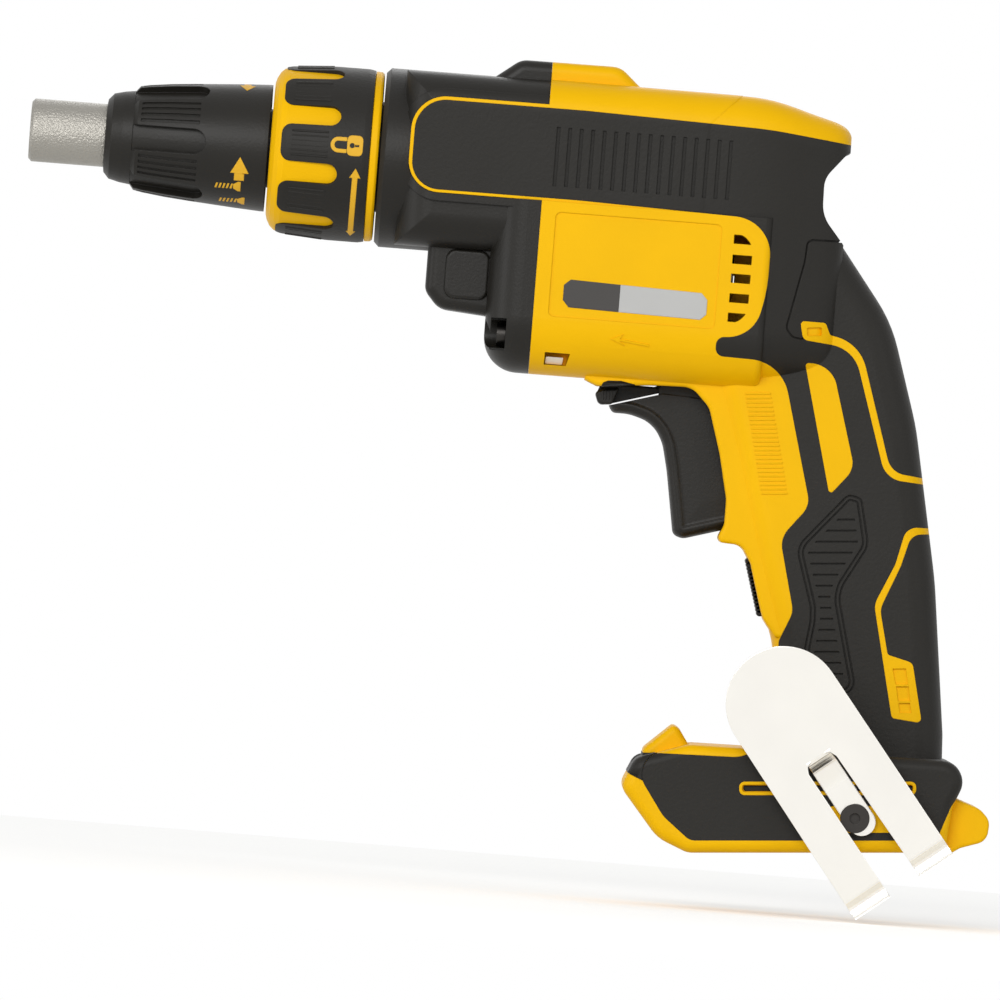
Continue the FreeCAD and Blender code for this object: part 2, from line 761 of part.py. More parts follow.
flute_floor = turned([(x * outline_size, r * outline_size) for x, r in flute_floor_shares])
flute_depth = cone_relief_radius + overrun
flute_bar = block(cone_start, flute_reach, -flute_width / 2, flute_width / 2, 0, flute_depth)
flute_end = Part.makeCylinder(flute_width / 2, flute_depth, at(flute_reach, 0, 0), at(0, 0, 1))
flute = flute_bar.fuse(flute_end).cut(flute_floor)
flute_front = rod(cone_relief_radius + overrun, 0, cone_radius_shares[3][0] * outline_size)
flute = flute.cut(flute_front)
flutes = [spun(flute, 90 + i * 360 / flute_count) for i in range(flute_count)]
rib_span = cone_radius_shares[4:9]
rib_floor = [(x * outline_size, r * outline_size - land_rib_depth) for x, r in rib_span]
rib_floor = turned([(rib_floor[0][0], 0)] + rib_floor + [(rib_floor[-1][0], 0)])
rib_turn = math.degrees(land_rib_pitch / (rib_span[2][1] * outline_size))
rib_bar = block(land_rib_start, land_rib_end, -land_rib_width / 2, land_rib_width / 2, 0, flute_depth)
rib_bar = rib_bar.cut(rib_floor)
land_ribs = []
for i in range(flute_count):
    land = 90 + (i + 0.5) * 360 / flute_count
    for k in range(land_rib_count):
        land_ribs.append(spun(rib_bar, land + (k - (land_rib_count - 1) / 2) * rib_turn))
nose_cone = nose_cone.cut(flutes + land_ribs)
save(nose_cone, "nose_cone")

# Lock collar with fingers, and its grip
collar_bore = socket_radius + running_fit
lock_collar = turned([
    (collar_start, sleeve_radius + running_fit), (collar_start, collar_radius - collar_wall),
    (grip_start - collar_wall / 2, finger_radius - collar_wall / 2),
    (grip_start, finger_radius - collar_wall / 4),
    (grip_start, collar_radius), (grip_end, collar_radius), (grip_end, rim_radius),
    (collar_end, rim_radius - tube_edge), (collar_end, collar_bore),
    (collar_start + collar_wall, collar_bore), (collar_start + collar_wall, sleeve_radius + running_fit),
])
finger_bar = block(collar_start, finger_reach, -finger_width / 2, finger_width / 2, 0, rim_radius + overrun)
finger_tip = Part.makeCylinder(finger_width / 2, rim_radius + overrun, at(finger_reach, 0, 0), at(0, 0, 1))
finger = finger_bar.fuse(finger_tip)
fingers = [spun(finger, 90 - finger_turn + i * 360 / finger_count) for i in range(finger_count)]
finger_band = tube(finger_radius, collar_radius - tube_edge, grip_start, grip_end)
lock_collar = joined([lock_collar] + [finger_band.common(f) for f in fingers])
save(lock_collar, "lock_collar")
collar_grip = turned([
    (grip_start, collar_radius), (grip_start, grip_front_radius - tube_edge),
    (grip_start + tube_edge * 2, grip_front_radius),
    (finger_reach, grip_back_radius), (grip_end - tube_edge * 2, grip_back_radius),
    (grip_end, grip_back_radius - tube_edge / 2), (grip_end, collar_radius),
])
save(collar_grip.cut(fingers), "collar_grip")

# Bit holder
holder_end = holder_start + holder_length
bit_holder = turned([
    (holder_start, 0), (holder_start, holder_radius - holder_edge),
    (holder_start + holder_edge, holder_radius), (holder_end - holder_edge, holder_radius),
    (holder_end, holder_radius - holder_edge), (holder_end, 0),
])
bit_holder = bit_holder.cut(hexagon(hex_socket_flats, holder_start - overrun, holder_start + socket_depth))
bit_holder = joined([bit_holder, hexagon(hex_flats, holder_end - holder_edge, holder_end + shank_length)])
save(bit_holder, "bit_holder")

# Spindle with its half of the dog clutch
flange_end = flange_start + flange_length
spindle = [
    rod(chuck_radius, spindle_start, flange_start),
    rod(flange_radius, flange_start, flange_end),
    rod(spindle_tail_radius, flange_end, spindle_end),
]
for i in range(dog_count):
    turn = i * 360 / dog_count
    spindle.append(sector(
        dog_inner_radius, dog_outer_radius, flange_end, flange_end + spindle_dog, turn, dog_angle,
    ))
hex_bore = hexagon(hex_socket_flats, spindle_start - overrun, holder_end + shank_length + holder_edge)
spindle = joined(spindle).cut(hex_bore)
save(spindle, "spindle")

# Drive gear with the other half of the clutch
gear_end = gear_start + gear_width
drive_gear = spur(gear_teeth, gear_start, gear_width, math.pi, 0)
web_radius = thrust_outer_radius + tube_edge
gear_recess = tube(rim_inner_radius, web_radius, gear_end - web_thickness, gear_end + overrun)
gear_dogs = []
for i in range(dog_count):
    turn = (i + 0.5) * 360 / dog_count
    gear_dogs.append(sector(
        dog_inner_radius, dog_outer_radius, gear_start - gear_dog, gear_start, turn, dog_angle,
    ))
drive_gear = joined([drive_gear.cut(gear_recess)] + gear_dogs)
drive_gear = drive_gear.cut(rod(spindle_tail_radius + running_fit, gear_start - overrun, gear_end + overrun))
save(drive_gear, "drive_gear")

# Clutch spring
steps = 12
spring_start = flange_end + spring_wire_radius + running_fit
spring_end = gear_start - spring_wire_radius - running_fit
coil = []
for i in range(spring_turns * steps + 1):
    a = 2 * math.pi * i / steps
    x = spring_start + (spring_end - spring_start) * i / (spring_turns * steps)
    coil.append(at(x, spring_radius * math.sin(a), spring_radius * math.cos(a)))
wire_ring = []
for i in range(7):
    a = math.radians(i * 60)
    reach = spring_radius + spring_wire_radius * math.sin(a)
    wire_ring.append(at(spring_start + spring_wire_radius * math.cos(a), 0, reach))
clutch_spring = Part.Wire(Part.makePolygon(coil)).makePipeShell([Part.makePolygon(wire_ring)], True, False, 1)
save(clutch_spring, "clutch_spring")

# Front bush, retaining ring, bearing plate, thrust bearing and rear bush
save(tube(bush_radius, chuck_radius + running_fit, bush_start, bush_start + bush_length), "front_bush")
ring_middle = ring_groove_start + ring_groove_width / 2
ring_major = neck_radius - ring_wire_radius
retaining_ring = Part.makeTorus(ring_major, ring_wire_radius, at(ring_middle, 0, 0), at(1, 0, 0))
save(retaining_ring, "nose_retaining_ring")
plate_end = plate_start + plate_length
plate_gap = running_fit
bearing_plate = joined([
    rod(cavity_radius + plate_ledge - plate_gap, plate_start, plate_end),
    rod(pinion_cavity_radius + plate_ledge - plate_gap, plate_start, plate_end, axis_drop),
])
bearing_seat = plate_end - motor_bearing_length
bearing_plate = bearing_plate.cut([
    rod(rear_bush_radius, plate_start - overrun, plate_end + overrun),
    rod(motor_bearing_radius, bearing_seat, plate_end + overrun, axis_drop),
    rod(motor_bearing_radius - plate_ledge * 2, plate_start - overrun, plate_end, axis_drop),
])
save(bearing_plate, "bearing_plate")
save(tube(rear_bush_radius, spindle_tail_radius + running_fit, plate_start, plate_end), "rear_bush")
thrust_bearing = tube(thrust_outer_radius, thrust_inner_radius, gear_end + slide_fit, plate_start)
save(thrust_bearing, "thrust_bearing")
front_bearing = tube(motor_bearing_radius, shaft_radius, bearing_seat, plate_end, axis_drop)
save(front_bearing, "motor_front_bearing")
rear_bearing_end = rear_bearing_start + motor_bearing_length
rear_bearing = tube(motor_bearing_radius, shaft_radius, rear_bearing_start, rear_bearing_end, axis_drop)
save(rear_bearing, "motor_rear_bearing")

# Rotor with pinion and fan
pinion = spur(pinion_teeth, gear_start, gear_width + pinion_overhang, math.pi / pinion_teeth, axis_drop)
shaft_start = gear_start
pinion = pinion.cut(rod(shaft_radius, gear_start - overrun, gear_end + overrun, axis_drop))
save(pinion, "pinion")
save(rod(shaft_radius, shaft_start, rear_bearing_end + pinion_overhang, axis_drop), "motor_shaft")
rotor_end = rotor_start + rotor_length
core_radius = rotor_radius - magnet_thickness
save(tube(core_radius, shaft_radius, rotor_start, rotor_end, axis_drop), "rotor_core")
magnets = []
for i in range(magnet_count):
    turn = i * 360 / magnet_count
    magnets.append(sector(core_radius, rotor_radius, rotor_start, rotor_end, turn, magnet_angle, axis_drop))
save(Part.makeCompound(magnets), "rotor_magnets")
fan = [
    rod(fan_hub_radius, fan_start, fan_start + fan_length, axis_drop),
    rod(fan_radius, fan_start, fan_start + fan_plate, axis_drop),
]
for i in range(fan_blades):
    blade = block(
        fan_start, fan_start + fan_length, -fan_blade / 2, fan_blade / 2,
        fan_hub_radius - fan_blade - axis_drop, fan_radius - fan_blade - axis_drop,
    )
    fan.append(spun(blade, i * 360 / fan_blades, axis_drop))
fan = joined(fan).cut(rod(shaft_radius, fan_start - overrun, fan_start + fan_length + overrun, axis_drop))
save(fan, "fan")

# Stator, its insulators and windings, and the sensor board
stator_inner = rotor_radius + air_gap
stator_yoke = stator_radius - stator_back
stator = [tube(stator_radius, stator_yoke, rotor_start, rotor_end, axis_drop)]
insulator = [
    tube(stator_radius - slide_fit, stator_yoke, rotor_start - insulator_end, rotor_start, axis_drop),
    tube(stator_radius - slide_fit, stator_yoke, rotor_end, rotor_end + insulator_end, axis_drop),
]
tab_end = rotor_start + cradle_length - slide_fit
tab_top = -axis_drop - (stator_yoke + stator_radius) / 2
tab = block(
    rotor_start - insulator_end, tab_end, -insulator_tab_half, insulator_tab_half,
    pod_bottom + shell_wall + slide_fit, tab_top,
)
tab = tab.cut(rod(stator_radius + slide_fit, rotor_start - running_fit, tab_end + overrun, axis_drop))
insulator[0] = joined([insulator[0], tab])
windings = []
shoe_angle = 360 / stator_slots - shoe_gap_angle
for i in range(stator_slots):
    turn = i * 360 / stator_slots
    tooth = block(
        rotor_start, rotor_end, -stator_tooth / 2, stator_tooth / 2,
        stator_inner + slide_fit * 2 - axis_drop, stator_yoke + slide_fit * 2 - axis_drop,
    )
    shoe = sector(stator_inner, stator_inner + fan_plate, rotor_start, rotor_end, 0, shoe_angle, axis_drop)
    stator.append(spun(joined([tooth, shoe]), turn, axis_drop))
    coil_low = stator_inner + fan_plate + slide_fit - axis_drop
    coil_half = stator_tooth / 2 + winding_length * coil_share
    coil_high = math.sqrt(stator_yoke ** 2 - coil_half ** 2) - slide_fit - axis_drop
    coil_block = block(
        rotor_start - winding_length, rotor_end + winding_length, -coil_half, coil_half, coil_low, coil_high,
    )
    coil_hole = block(
        rotor_start - slide_fit, rotor_end + slide_fit, -stator_tooth / 2 - slide_fit,
        stator_tooth / 2 + slide_fit, coil_low - overrun, coil_high + overrun,
    )
    windings.append(spun(coil_block.cut(coil_hole), turn, axis_drop))
save(joined(stator), "stator_core")
save(Part.makeCompound(insulator), "stator_insulator")
save(Part.makeCompound(windings), "stator_windings")
board_start = rotor_end + insulator_end
save(tube(board_radius, board_bore, board_start, board_start + board_thickness, axis_drop), "sensor_board")

# Gear case
seam_start = case_end + half_seam
cavity_start = case_start + case_front_wall
hump_front = slab(hump_shares, hump_half, hump_edge)
pod = pod_body()
ahead = block(0, case_end, -foot_half * 2, foot_half * 2, -outline_size, outline_size)
case_shapes = [
    turned([
        (case_start, 0), (case_start, case_radius - case_edge), (case_start + case_edge, case_radius),
        (case_end, case_radius), (case_end, 0),
    ]),
    rod(neck_radius, neck_start, case_start + overrun),
    slab(case_side_shares, upper_half - case_sink, upper_edge).common(ahead),
    hump_front.common(ahead),
    slab(pinion_box_shares, pinion_box_half, pinion_box_edge),
    slab(pinion_pad_shares, pinion_pad_half, pinion_pad_edge),
    pod.common(ahead),
]
border = Part.Face(outline(tongue_shares, -border_width))
border.translate(at(0, -foot_half, 0))
border = border.extrude(at(0, foot_half * 2, 0))
case_shapes.append(slab(case_side_shares, upper_half - border_sink, upper_edge).common(border).common(ahead))
gear_case = joined(case_shapes)
tongue_room = strip(tongue_shares, 0, upper_half + overrun)
tongue_room = tongue_room.fuse(mirrored(tongue_room))
tongue_seat = core(barrel_shares, upper_half, upper_edge, shell_wall + seat_gap)
case_cuts = [
    rod(cavity_radius, cavity_start, plate_start),
    rod(cavity_radius + plate_ledge, plate_start, case_end + overrun),
    rod(pinion_cavity_radius, pinion_cavity_start, plate_start, axis_drop),
    rod(pinion_cavity_radius + plate_ledge, plate_start, case_end + overrun, axis_drop),
    rod(stator_radius + shell_wall, plate_end, case_end + overrun, axis_drop),
    rod(bush_radius, neck_start - overrun, cavity_start + overrun),
    tube(
        neck_radius + overrun, ring_major - ring_wire_radius - running_fit, ring_groove_start,
        ring_groove_start + ring_groove_width,
    ),
    tongue_room.cut(tongue_seat),
]
screw_spots = [
    (upper_screw_side, -upper_screw_height), (-upper_screw_side, -upper_screw_height),
    (lower_screw_side, lower_screw_drop), (-lower_screw_side, lower_screw_drop),
]
case_screws = []
case_screw_end = case_screw_start + case_screw_length
for aside, drop in screw_spots:
    hole_start = case_screw_seat - overrun
    case_cuts.append(rod(screw_radius + running_fit, hole_start, case_end + overrun, drop, aside))
    case_cuts.append(rod(screw_recess_radius, recess_start, case_screw_seat, drop, aside))
    head = rod(screw_head_radius, case_screw_seat - screw_head_length, case_screw_seat, drop, aside)
    drive_start = case_screw_seat - screw_head_length * 2
    drive = rod(screw_socket_radius, drive_start, case_screw_seat - screw_head_length / 2, drop, aside)
    shank = rod(screw_radius, case_screw_seat, case_screw_end, drop, aside)
    case_screws.append(joined([head.cut(drive), shank]))
screw_pocket = block(
    case_screw_seat - screw_pocket_length, case_screw_seat, lower_screw_side, foot_half,
    -lower_screw_drop - screw_pocket_half, -lower_screw_drop + screw_pocket_half,
)
case_cuts += [screw_pocket, mirrored(screw_pocket)]
gear_case = gear_case.cut(case_cuts)
save(gear_case, "gear_case")
save(Part.makeCompound(case_screws), "gear_case_screws")


# Body form: the shells and the soft skin are layers of its left half
def left_half(shapes, middle):
    """Shapes fused and ended at the plane y = middle."""
    left_side = block(0, outline_size * 2, -foot_half * 2, middle, -outline_size * 2, outline_size)
    whole = shapes[0].common(left_side)
    for shape in shapes[1:]:
        whole = whole.fuse(shape.common(left_side))
    return whole


body_slabs = [(barrel_shares, upper_half, upper_edge), (handle_shares, handle_half, handle_edge)]
foot_slabs = [
    (hump_shares, hump_half, hump_edge), (foot_shares, foot_half, foot_edge),
    (heel_shares, heel_half, heel_edge),
]


surround = slab(surround_shares, surround_half, surround_edge)
outer_shapes = [slab(*values) for values in body_slabs + foot_slabs] + [rear_body(), surround, pod]
outer = left_half(outer_shapes + [slab(post_shares, post_half, post_edge)], -half_seam)
surround_room = slab(surround_room_shares, surround_half - shell_wall)
under_shapes = [core(*values, over_thickness) for values in body_slabs + foot_slabs]
under_shapes += [rear_body(over_thickness), pod_body(over_thickness), surround_room]
under_skin = left_half(under_shapes, overrun)
inner_shapes = [core(*values, shell_wall) for values in body_slabs]
inner_shapes += [rear_body(shell_wall), pod_body(shell_wall), surround_room]
inner = left_half(inner_shapes + [slab(foot_room_shares, foot_half - shell_wall * 2)], overrun * 2)

# Soft skin of the left side
soft_face = Part.Face(outline(soft_shares))
soft_face = soft_face.cut([
    Part.Face(outline(insert_shares)), Part.Face(outline(stripe_upper_shares)),
    Part.Face(outline(stripe_lower_shares)), Part.Face(outline(foot_slot_shares)),
    Part.Face(outline(clip_seat_shares)),
])
soft_face.translate(at(0, -foot_half - overrun, 0))
soft_region = soft_face.extrude(at(0, foot_half + overrun, 0))
left_skin = outer.common(soft_region).cut(under_skin)
left_skin = max(left_skin.Solids, key=lambda solid: solid.Volume)

# Ribs and grooves in the skin
panel_floor = groove_depth - upper_half
skin_cuts = []
for i in range(panel_rib_count):
    x = panel_rib_start + i * panel_rib_pitch
    skin_cuts.append(block(
        x, x + panel_rib_width, -foot_half, panel_floor, panel_rib_bottom, panel_rib_top,
    ))
grip_floor = handle_half - groove_depth
grip_zone = strip(grip_pad_shares, grip_floor, foot_half, grip_rib_inset)
for i in range(grip_rib_count):
    z = grip_rib_start - i * grip_rib_pitch
    rib = block(0, outline_size * 2, -foot_half, -grip_floor, z - groove_width, z)
    rib.rotate(at(grip_pad_shares[0][0] * outline_size, 0, z), at(0, 1, 0), -foot_tilt)
    skin_cuts.append(rib.common(grip_zone))
skin_cuts.append(groove(grip_pad_shares, grip_floor, foot_half))
skin_cuts.append(groove(grip_pad_shares, grip_floor, foot_half, groove_gap))
rear_floor = rear_body(groove_depth)
skin_cuts.append(groove(rear_panel_shares, 0, foot_half).cut(rear_floor))

# Left shell: front cut to the tongue, hollow, with openings
tongue_strip = strip(tongue_shares, 0, upper_half + overrun)
front_cut = block(
    0, seam_start, -foot_half * 2, overrun, -outline_size, outline_size,
).cut(tongue_strip)
foot_x, foot_z = foot_base_shares[0] * outline_size, foot_base_shares[1] * outline_size


def foot_block(x_from, x_to, half, z_from, z_to):
    """Box in the tilted frame of the foot, measured from its front lower corner."""
    box = block(x_from, x_to, -half, half, z_from, z_to)
    box.translate(at(foot_x, 0, foot_z))
    box.rotate(at(foot_x, 0, foot_z), at(0, 1, 0), -foot_tilt)
    return box


bay_cuts = [
    foot_block(-bay_depth * 3, bay_length, bay_half - rail_reach, -bay_depth, bay_depth),
    foot_block(-bay_depth * 3, bay_length, bay_half, rail_height, bay_depth),
]
vent_cuts = []
vent_field = strip(vent_field_shares, 0, foot_half)
for x_share, z_share in vent_shares:
    x, z = x_share * outline_size, z_share * outline_size
    vent = block(
        x, x + vent_width_share * outline_size, -foot_half, -vent_depth, z - vent_half, z + vent_half,
    )
    vent_cuts.append(vent.common(vent_field))
window = strip(window_shares, vent_half, foot_half)
trigger_room = slab(trigger_room_shares, trigger_half + trigger_side_gap)
pad_pocket = slab(hump_pad_shares, pad_half + slide_fit)
shell = outer.cut(inner).cut(left_skin).cut(front_cut)
left_skin = left_skin.cut(skin_cuts)
cradles = []
cradle_room = left_half([pod_body(over_thickness)], -half_seam)
for x in (rotor_start + cradle_length, rotor_end - cradle_length * 2):
    ring = tube(outline_size, stator_radius + running_fit, x, x + cradle_length, axis_drop)
    cradles.append(ring.common(cradle_room))
wall_end = rear_bearing_end - rib_thickness
bearing_wall = tube(outline_size, motor_bearing_radius, rear_bearing_start, wall_end, axis_drop)
air_hole = rod(air_hole_radius, rear_bearing_start - overrun, rear_bearing_end, axis_drop - air_hole_reach)
air_holes = [spun(air_hole, (i + 0.5) * 360 / air_hole_count, axis_drop) for i in range(air_hole_count)]
cradles.append(bearing_wall.common(cradle_room).cut(air_holes))
baffle = block(
    wall_end - rib_thickness / 2, pod_end, -half_seam - rib_thickness, -half_seam, pod_bottom, pod_top,
)
shaft_end = rear_bearing_end + pinion_overhang
cradles.append(baffle.common(cradle_room).cut([
    rod(motor_bearing_radius + slide_fit, rear_bearing_start, rear_bearing_end + seat_gap, axis_drop),
    rod(shaft_radius + slide_fit, rear_bearing_start, shaft_end + seat_gap, axis_drop),
]))
for aside, drop in screw_spots:
    screw_boss = rod(case_boss_radius, seam_start, case_screw_end + rib_thickness, drop, aside)
    cradles.append(screw_boss.common(outer))
bosses = []
for x_share, z_share in boss_shares:
    boss = pin(boss_radius, x_share * outline_size, z_share * outline_size, -foot_half, -half_seam)
    bosses.append(boss.common(under_skin))
shell = shell.fuse(cradles + bosses)
open_cuts = bay_cuts + vent_cuts + [window, trigger_room, pad_pocket]
open_cuts.append(strip(label_shares, pod_half - label_depth, foot_half))
open_cuts.append(strip(foot_slot_shares, foot_half - foot_slot_depth, foot_half + overrun, foot_slot_rim))
open_cuts.append(strip(stripe_window_shares[0], 0, foot_half).cut(rear_floor))
for shares in stripe_window_shares[1:]:
    open_cuts.append(strip(shares, grip_floor, foot_half))
for aside, drop in screw_spots:
    open_cuts.append(rod(screw_radius, seam_start - overrun, case_screw_end, drop, aside))
shell = shell.cut(open_cuts)

# Housing screws: heads on the right, threads in the left
housing_screws = []
left_cuts = []
right_cuts = []
thread_end = boss_head_seat - boss_screw_length
for x_share, z_share in boss_shares:
    x, z = x_share * outline_size, z_share * outline_size
    head = pin(screw_head_radius, x, z, boss_head_seat, boss_head_seat + screw_head_length)
    drive_seat = boss_head_seat + screw_head_length / 2
    drive = pin(screw_socket_radius, x, z, drive_seat, drive_seat + screw_head_length)
    shank = pin(boss_screw_radius, x, z, thread_end, boss_head_seat)
    housing_screws.append(joined([head.cut(drive), shank]))
    left_cuts.append(pin(boss_screw_radius, x, z, thread_end, overrun))
    right_cuts.append(pin(boss_screw_radius + slide_fit, x, z, -overrun, boss_head_seat))
    right_cuts.append(pin(screw_head_radius + slide_fit, x, z, boss_head_seat, foot_half + overrun))
save(Part.makeCompound(housing_screws), "housing_screws")
clip_x, clip_z = clip_anchor_shares[0] * outline_size, clip_anchor_shares[1] * outline_size
clip_thread = pin(clip_thread_radius, clip_x, clip_z, -foot_half - overrun, -foot_half + clip_boss_depth)
left_housing = shell.cut(left_cuts + [clip_thread])
right_housing = mirrored(shell.cut(clip_thread)).cut(right_cuts)
save(left_housing, "left_housing")
save(right_housing, "right_housing")
save(left_skin.cut(clip_thread), "left_overmould")
save(mirrored(left_skin.cut(clip_thread)).cut(right_cuts), "right_overmould")
save(slab(hump_pad_shares, pad_half).common(hump_front), "hump_pad")

# Trigger with its stem, and the switch behind it
rise = math.radians(trigger_rise)
pull = at(math.cos(rise), 0, math.sin(rise))
stem_x, stem_z = stem_shares[0] * outline_size, stem_shares[1] * outline_size
stem = Part.makeCylinder(stem_radius, stem_length, at(stem_x, 0, stem_z), pull)
cheek_gap = trigger_half - trigger_cheek
cheeks = slab(trigger_cheek_shares, trigger_half).cut(slab(trigger_room_shares, cheek_gap))
trigger = joined([slab(trigger_shares, trigger_half, trigger_edge), stem] + cheeks.Solids)
save(trigger, "trigger")
stem_room = stem_length + trigger_travel + trigger_side_gap
stem_hole = Part.makeCylinder(stem_radius + slide_fit, stem_room, at(stem_x, 0, stem_z), pull)
save(slab(switch_shares, switch_half).cut(stem_hole), "switch_module")

# Forward and reverse lever
lean = math.radians(lever_axis_lean)
lever_axis = at(-math.sin(lean), 0, math.cos(lean))
disc_base = side(*lever_pivot_shares) - lever_axis * lever_disc_half
pivot_disc = Part.makeCylinder(lever_disc_radius, lever_disc_half * 2, disc_base, lever_axis)
lever_knob = slab(knob_shares, lever_knob_half, lever_edge)
reverse_lever = joined([slab(lever_shares, lever_half), lever_knob, pivot_disc])
save(reverse_lever, "reverse_lever")

# Control module in the handle
save(slab(module_shares, module_half), "control_module")

# Terminal block and blades in the battery bay
block_top = bay_depth - running_fit
block_end = bay_length - rib_thickness
blade_end = block_end - block_length
terminal_block = foot_block(blade_end, block_end, block_half, block_top - block_height, block_top)
blades = []
blade_middle = block_top - block_height / 2
for i in range(blade_count):
    aside = (i - (blade_count - 1) / 2) * blade_pitch
    blade = foot_block(
        blade_end - blade_length, blade_end + block_height, blade_thickness / 2,
        blade_middle - blade_height / 2, blade_middle + blade_height / 2,
    )
    blade.translate(at(0, aside, 0))
    blades.append(blade)
save(terminal_block.cut(blades), "terminal_block")
save(Part.makeCompound(blades), "terminal_blades")

# Belt clip: a bent plate with a slot and a tongue that is screwed to the foot
clip_face = Part.Face(outline(clip_shares)).cut(Part.Face(outline(clip_slot_shares)))
clip_face.translate(at(0, -foot_half - clip_offset, 0))
clip_plate = clip_face.extrude(at(0, clip_thickness, 0))
seat_y = -foot_half - clip_thickness
tongue_low = clip_tongue_shift - clip_tongue_half
tongue_end = clip_tongue_shares[-1][0] * outline_size
tongue_tip = pin(clip_tongue_half, tongue_end, clip_tongue_shift, seat_y, -foot_half)
clip_tongue = bent_sheet(clip_tongue_shares, tongue_low, tongue_low + clip_tongue_half * 2)
clip_edges = [share[1] * outline_size for share in (
    clip_shares[2], clip_slot_shares[1], clip_slot_shares[2], clip_shares[3],
)]
clip_toes = [bent_sheet(clip_toe_shares, *clip_edges[:2]), bent_sheet(clip_toe_shares, *clip_edges[2:])]
belt_clip = joined([clip_plate, clip_tongue, tongue_tip] + clip_toes)
belt_clip = belt_clip.cut(pin(clip_hole_radius, 0, 0, -foot_half * 2, 0))
belt_clip.rotate(at(0, 0, 0), at(0, 1, 0), clip_tilt)
belt_clip.translate(at(clip_x, 0, clip_z))
save(belt_clip, "belt_clip")
clip_head = pin(screw_head_radius + screw_radius / 2, clip_x, clip_z, seat_y - screw_head_length, seat_y)
drive_floor = seat_y - screw_head_length / 2
clip_drive = pin(screw_socket_radius, clip_x, clip_z, drive_floor - screw_head_length, drive_floor)
clip_shank = pin(clip_thread_radius, clip_x, clip_z, seat_y, -foot_half + clip_boss_depth)
save(joined([clip_head.cut(clip_drive), clip_shank]), "belt_clip_screw")
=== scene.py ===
import bmesh
import bpy
import json
import math
from mathutils import Matrix, Vector
from mathutils.bvhtree import BVHTree


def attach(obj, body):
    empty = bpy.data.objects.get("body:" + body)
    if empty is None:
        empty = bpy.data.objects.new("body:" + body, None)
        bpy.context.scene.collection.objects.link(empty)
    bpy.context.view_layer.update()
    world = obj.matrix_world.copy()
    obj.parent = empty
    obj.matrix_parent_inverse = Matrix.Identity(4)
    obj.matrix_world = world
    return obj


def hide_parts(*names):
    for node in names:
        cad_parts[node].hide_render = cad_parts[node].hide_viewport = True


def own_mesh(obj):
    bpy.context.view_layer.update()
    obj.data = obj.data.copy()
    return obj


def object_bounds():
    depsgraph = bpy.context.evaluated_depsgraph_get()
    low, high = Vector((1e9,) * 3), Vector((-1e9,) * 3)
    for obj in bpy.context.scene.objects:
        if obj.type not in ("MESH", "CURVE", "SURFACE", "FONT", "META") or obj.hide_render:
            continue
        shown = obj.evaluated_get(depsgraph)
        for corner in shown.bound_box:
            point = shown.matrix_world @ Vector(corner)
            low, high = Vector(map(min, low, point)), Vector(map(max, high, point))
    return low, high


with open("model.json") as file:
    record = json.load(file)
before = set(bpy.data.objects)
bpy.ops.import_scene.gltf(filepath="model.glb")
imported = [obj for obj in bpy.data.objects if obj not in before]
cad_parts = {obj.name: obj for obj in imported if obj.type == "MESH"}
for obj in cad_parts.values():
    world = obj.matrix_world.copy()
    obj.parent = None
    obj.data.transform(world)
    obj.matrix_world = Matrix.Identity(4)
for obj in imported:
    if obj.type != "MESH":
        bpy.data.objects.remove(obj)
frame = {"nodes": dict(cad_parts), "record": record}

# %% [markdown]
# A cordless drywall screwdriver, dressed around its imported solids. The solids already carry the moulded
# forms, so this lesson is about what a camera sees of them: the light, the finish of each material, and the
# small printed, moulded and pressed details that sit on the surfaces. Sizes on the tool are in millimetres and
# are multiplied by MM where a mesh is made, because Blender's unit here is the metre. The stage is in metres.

MM = 0.001
scene = bpy.context.scene
nodes = frame["nodes"]
solid_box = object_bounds()
print("solids:", [round(v / MM, 1) for corner in solid_box for v in corner])

# %% [markdown]
# The photograph is a catalogue side view. Its left and right edges run almost parallel, which means a long
# lens far away, so the camera gets an 800 mm lens and stands more than six metres off. The tool's barrel
# climbs by 4.5 degrees in the picture, so the camera is rolled by that much and the tool stays level.

# %% Camera
LENS, SENSOR = 800.0, 36.0
VIEW_WIDTH = 290.0
VIEW_ROLL = math.radians(4.5)
AIM = Vector((144.16, 0.0, -96.4)) * MM
camera_data = bpy.data.cameras.new("catalogue_lens")
camera_data.lens = LENS
camera_data.sensor_width = SENSOR
camera_data.clip_end = 100.0
camera = bpy.data.objects.new("catalogue_camera", camera_data)
scene.collection.objects.link(camera)
stand_off = VIEW_WIDTH * MM * LENS / SENSOR
rightward = Vector((math.cos(VIEW_ROLL), 0.0, math.sin(VIEW_ROLL)))
upward = Vector((-math.sin(VIEW_ROLL), 0.0, math.cos(VIEW_ROLL)))
backward = Vector((0.0, -1.0, 0.0))
facing = Matrix((rightward, upward, backward)).transposed().to_4x4()
camera.matrix_world = Matrix.Translation(AIM + backward * stand_off) @ facing
scene.camera = camera
scene.view_settings.view_transform = "Standard"
print("camera stands", round(stand_off, 2), "m away")

# %% [markdown]
# A material is a small graph of nodes. One function adds a node, sets its plain values and makes its links,
# so that each graph below reads from the pattern to the surface. Colours are written as the hex values a
# painter would pick on a screen, and the renderer wants linear light, so one function converts them.


# %% Node and colour helpers
def linear(hex_colour):
    """Linear light of a screen colour, with full opacity."""
    channels = [int(hex_colour[i:i + 2], 16) / 255 for i in (1, 3, 5)]
    return [c / 12.92 if c <= 0.04045 else ((c + 0.055) / 1.055) ** 2.4 for c in channels] + [1.0]


